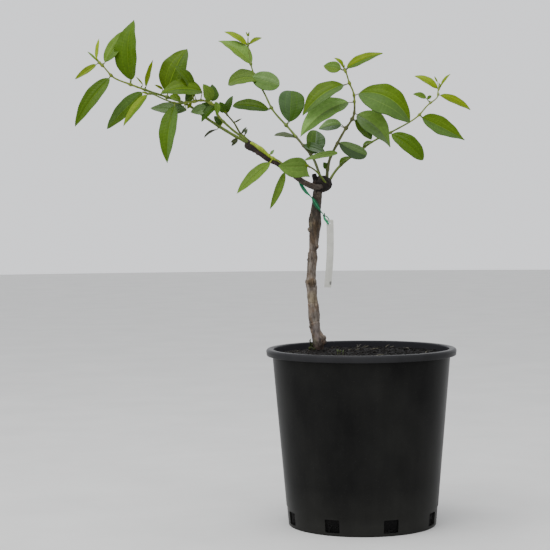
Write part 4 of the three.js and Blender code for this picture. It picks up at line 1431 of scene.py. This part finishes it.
def make_sprouts(rng):
    leaves, stems = Heap(), Heap()
    for (x, y), height, count, spread, tone in sprouts:
        foot = np.array([x, y, soil_level - 1.0])
        top = foot + [rng.uniform(-0.6, 0.6), rng.uniform(-0.6, 0.6), height * 0.8]
        line = Curve([foot, (foot + top) / 2 + [0.4, 0.2, 0], top], 8).at(np.linspace(0, 1, 8))
        stems.rings(tube_rings(line, np.linspace(0.5, 0.25, 8), 6), stem_slots["old"])
        for k in range(count):
            angle = k * 2.4 + rng.uniform(0, 0.6)
            base = line[-1 - min(k, 3)]
            tip = base + [*polar(spread, angle), rng.uniform(3, 4.5)]
            small = leaf_between(base, base, tip, rng.uniform(1.5, 2.1), 30, 0.1)
            fine_blade(leaves, small, tone, rng)
    settle(leaves.piece("sprout_leaves", leaf_materials), "foliage")
    settle(stems.piece("sprout_stems", stem_materials), "foliage")


# Tie and tag
def trunk_share_at(height):
    shares = np.linspace(0, 1, 400)
    return float(np.interp(height, trunk_curve.at(shares)[:, 2], shares))


def ribbon(heap, line, out, half_width, half_thick, slot):
    """A flat tape along a line, lying square to the directions in out, with rounded edges."""
    tangents = unit_rows(np.gradient(line, axis=0))
    out = unit_rows(out - tangents * np.sum(out * tangents, axis=1)[:, None])
    side = np.cross(tangents, out)
    angles = turns(10)
    wide = np.broadcast_to(half_width, len(line))[:, None, None]
    across = np.sign(np.cos(angles)) * np.abs(np.cos(angles)) ** 0.6
    rings = line[:, None] + wide * across[None, :, None] * side[:, None]
    rings = rings + half_thick * np.sin(angles)[None, :, None] * out[:, None]
    heap.rings(rings[:, ::-1], slot)


def tape_turn(knot):
    """The turn round the trunk: low on the right, up across the front, and back down behind."""
    line, ways = [], []
    for angle in np.linspace(turn_gap, 2 * math.pi - turn_gap, 48):
        height = knot[2] + tie_rise + (tie_top - knot[2] - tie_rise) * (1 - math.cos(angle)) / 2
        share = trunk_share_at(height)
        way = np.array([*polar(1, -angle), 0])
        point = trunk_curve.at(share) + way * (trunk_radius(share, 0) + tie_off_bark)
        line.append((point[0], point[1], height))
        ways.append(way)
    return np.array(line), np.array(ways)


def tape(heap, route, widths, swing_from, swing_to, slot):
    """A loose length of tape: widths are spread along it, and it twists from one facing to the other."""
    walk = np.linspace(0, 1, 44)
    turn = (swing_from + (swing_to - swing_from) * walk)[:, None]
    facing = np.array([0, -1.0, 0]) * np.cos(turn) + np.array([0.8, 0, 0.6]) * np.sin(turn)
    half = np.interp(walk, np.linspace(0, 1, len(widths)), widths)
    ribbon(heap, Curve(route).at(walk), facing, half, 0.25, slot)


def make_tie():
    heap = Heap()
    knot = seen(tie_knot)
    line, ways = tape_turn(knot)
    walk = np.linspace(0, 1, len(line))
    band = 1.1 + 2.1 * hump(walk, 0.27, 0.17) + 0.15 * np.sin(walk * 40)
    ribbon(heap, line, ways, band, 0.3, dull)
    crease = slice(4, 22)
    creased = line + ways * 0.35 + np.array([0, 0, 0.7])
    ribbon(heap, creased[crease], ways[crease], 0.7 + 0.2 * np.sin(walk[crease] * 60), 0.28, bright)
    tail = [line[17], *(seen(place) for place in tie_tail)]
    tape(heap, tail, tail_widths, 0.1, 0.45, bright)
    for end, slot in ((line[0], bright), (line[-1], dull)):
        tape(heap, [end, (end + knot) / 2 + [0.3, -0.4, 0.2], knot], knot_widths, 0, 0.9, slot)
    fall = tag_hole_place() - knot
    for route, *form in tag_tapes:
        tape(heap, [knot + fall * share + aside for share, aside in route], *form)
    lumps = ball_points * knot_half * (1 + 0.25 * np.sin(ball_points[:, [2, 0, 1]] * 5))
    heap.add(lumps + knot, ball_faces, dull)
    settle(heap.piece("tie_tape", [tie_bright, tie_dull]), "tie_plastic", "tie")


def tag_turn():
    return Matrix.Rotation(tag_lean, 3, "Y")


def tag_hole_place():
    return seen(tag_top) + np.array(tag_turn() @ Vector((tag_hole_aside, 0, -tag_hole_below)))


def make_tag():
    """A thin strip with a round hole, a little bowed and creased."""
    half, radius = tag_width / 2, tag_hole_radius
    across = np.linspace(-half, half, tag_columns)
    down = np.linspace(0, -tag_length, tag_rows)
    points = np.stack(np.meshgrid(across, down), axis=-1).reshape(-1, 2)
    index = np.arange(len(points)).reshape(tag_rows, tag_columns)
    corners = [index[:-1, :-1], index[1:, :-1], index[1:, 1:], index[:-1, 1:]]
    faces = np.stack(corners, axis=-1).reshape(-1, 4)
    centre = np.array([tag_hole_aside, -tag_hole_below])
    middles = points[faces].mean(axis=1)
    faces = faces[np.linalg.norm(middles - centre, axis=1) > radius * 0.86]

    gap = points - centre
    far_off = np.linalg.norm(gap, axis=1)
    pull = np.clip((radius + hole_margin - far_off) / hole_margin, 0, 1) * (far_off > 0.01)
    points = points + gap * ((radius - far_off) * pull / np.maximum(far_off, 0.01))[:, None]
    corner_drop = np.clip(-points[:, 1], 0, tag_corner) - tag_corner
    inset = tag_corner - np.sqrt(np.maximum(tag_corner**2 - corner_drop**2, 0))
    points[:, 0] = np.clip(points[:, 0], -half + inset, half - inset)

    down = -points[:, 1] / tag_length
    bow = tag_bow * np.sin(down * math.pi) + tag_creases * np.sin(down * 23)
    bow -= tag_curl * (points[:, 0] / half) ** 2
    lean = tag_sway * np.sin(down * math.pi) + tag_tip_sway * down**3
    flat = np.stack([points[:, 0] - lean, -bow, points[:, 1]], axis=-1)
    heap = Heap()
    heap.add(flat @ np.array(tag_turn()).T + seen(tag_top), faces)
    mesh = reshaped(heap.piece("tag_sheet"), "SOLIDIFY", thickness=tag_thickness * 0.75 * MM, offset=0)
    settle(show("tag_strip", mesh, [tag_plastic], 50), "tag_plastic", "tag")


# Stage
def make_stage():
    shape = bmesh.new()
    bmesh.ops.create_circle(shape, cap_ends=True, segments=96, radius=9)
    mesh = bpy.data.meshes.new("floor")
    shape.to_mesh(mesh)
    shape.free()
    floor = show("floor", mesh, [floor_plain])
    world = bpy.data.worlds.new("soft_daylight")
    bpy.context.scene.world = world
    world.use_nodes = True
    sky = world.node_tree.nodes["Background"]
    sky.inputs["Color"].default_value = (*sky_color, 1)
    sky.inputs["Strength"].default_value = sky_strength
    for name, at, size, power in lamps:
        light = bpy.data.lights.new(name, "AREA")
        light.shape = "DISK"
        light.size = size
        light.energy = power
        lamp = placed(name, light)
        lamp.location = at
        lamp.rotation_euler = (Vector(lit_place) - Vector(at)).to_track_quat("-Z", "Y").to_euler()


def make_camera():
    data = bpy.data.cameras.new("camera")
    data.sensor_width = sensor_width
    data.lens = focal_pixels * sensor_width / picture_width
    camera = placed("camera", data)
    turn = Matrix.Rotation(math.pi / 2 - camera_pitch, 4, "X") @ Matrix.Rotation(-camera_roll, 4, "Z")
    spot = Vector((eye["across"], -eye["distance"], eye["up"])) * MM
    camera.matrix_world = Matrix.Translation(spot) @ turn
    bpy.context.scene.camera = camera


def build():
    rng = random.Random(ground_seed)
    make_camera()
    make_stage()
    make_pot()
    make_soil()
    scatter_crumbs(rng)
    make_straws(rng)
    make_sprouts(rng)
    make_trunk()
    make_bough()
    make_tie()
    make_tag()
    dress_shoots(plan_shoots())


build()
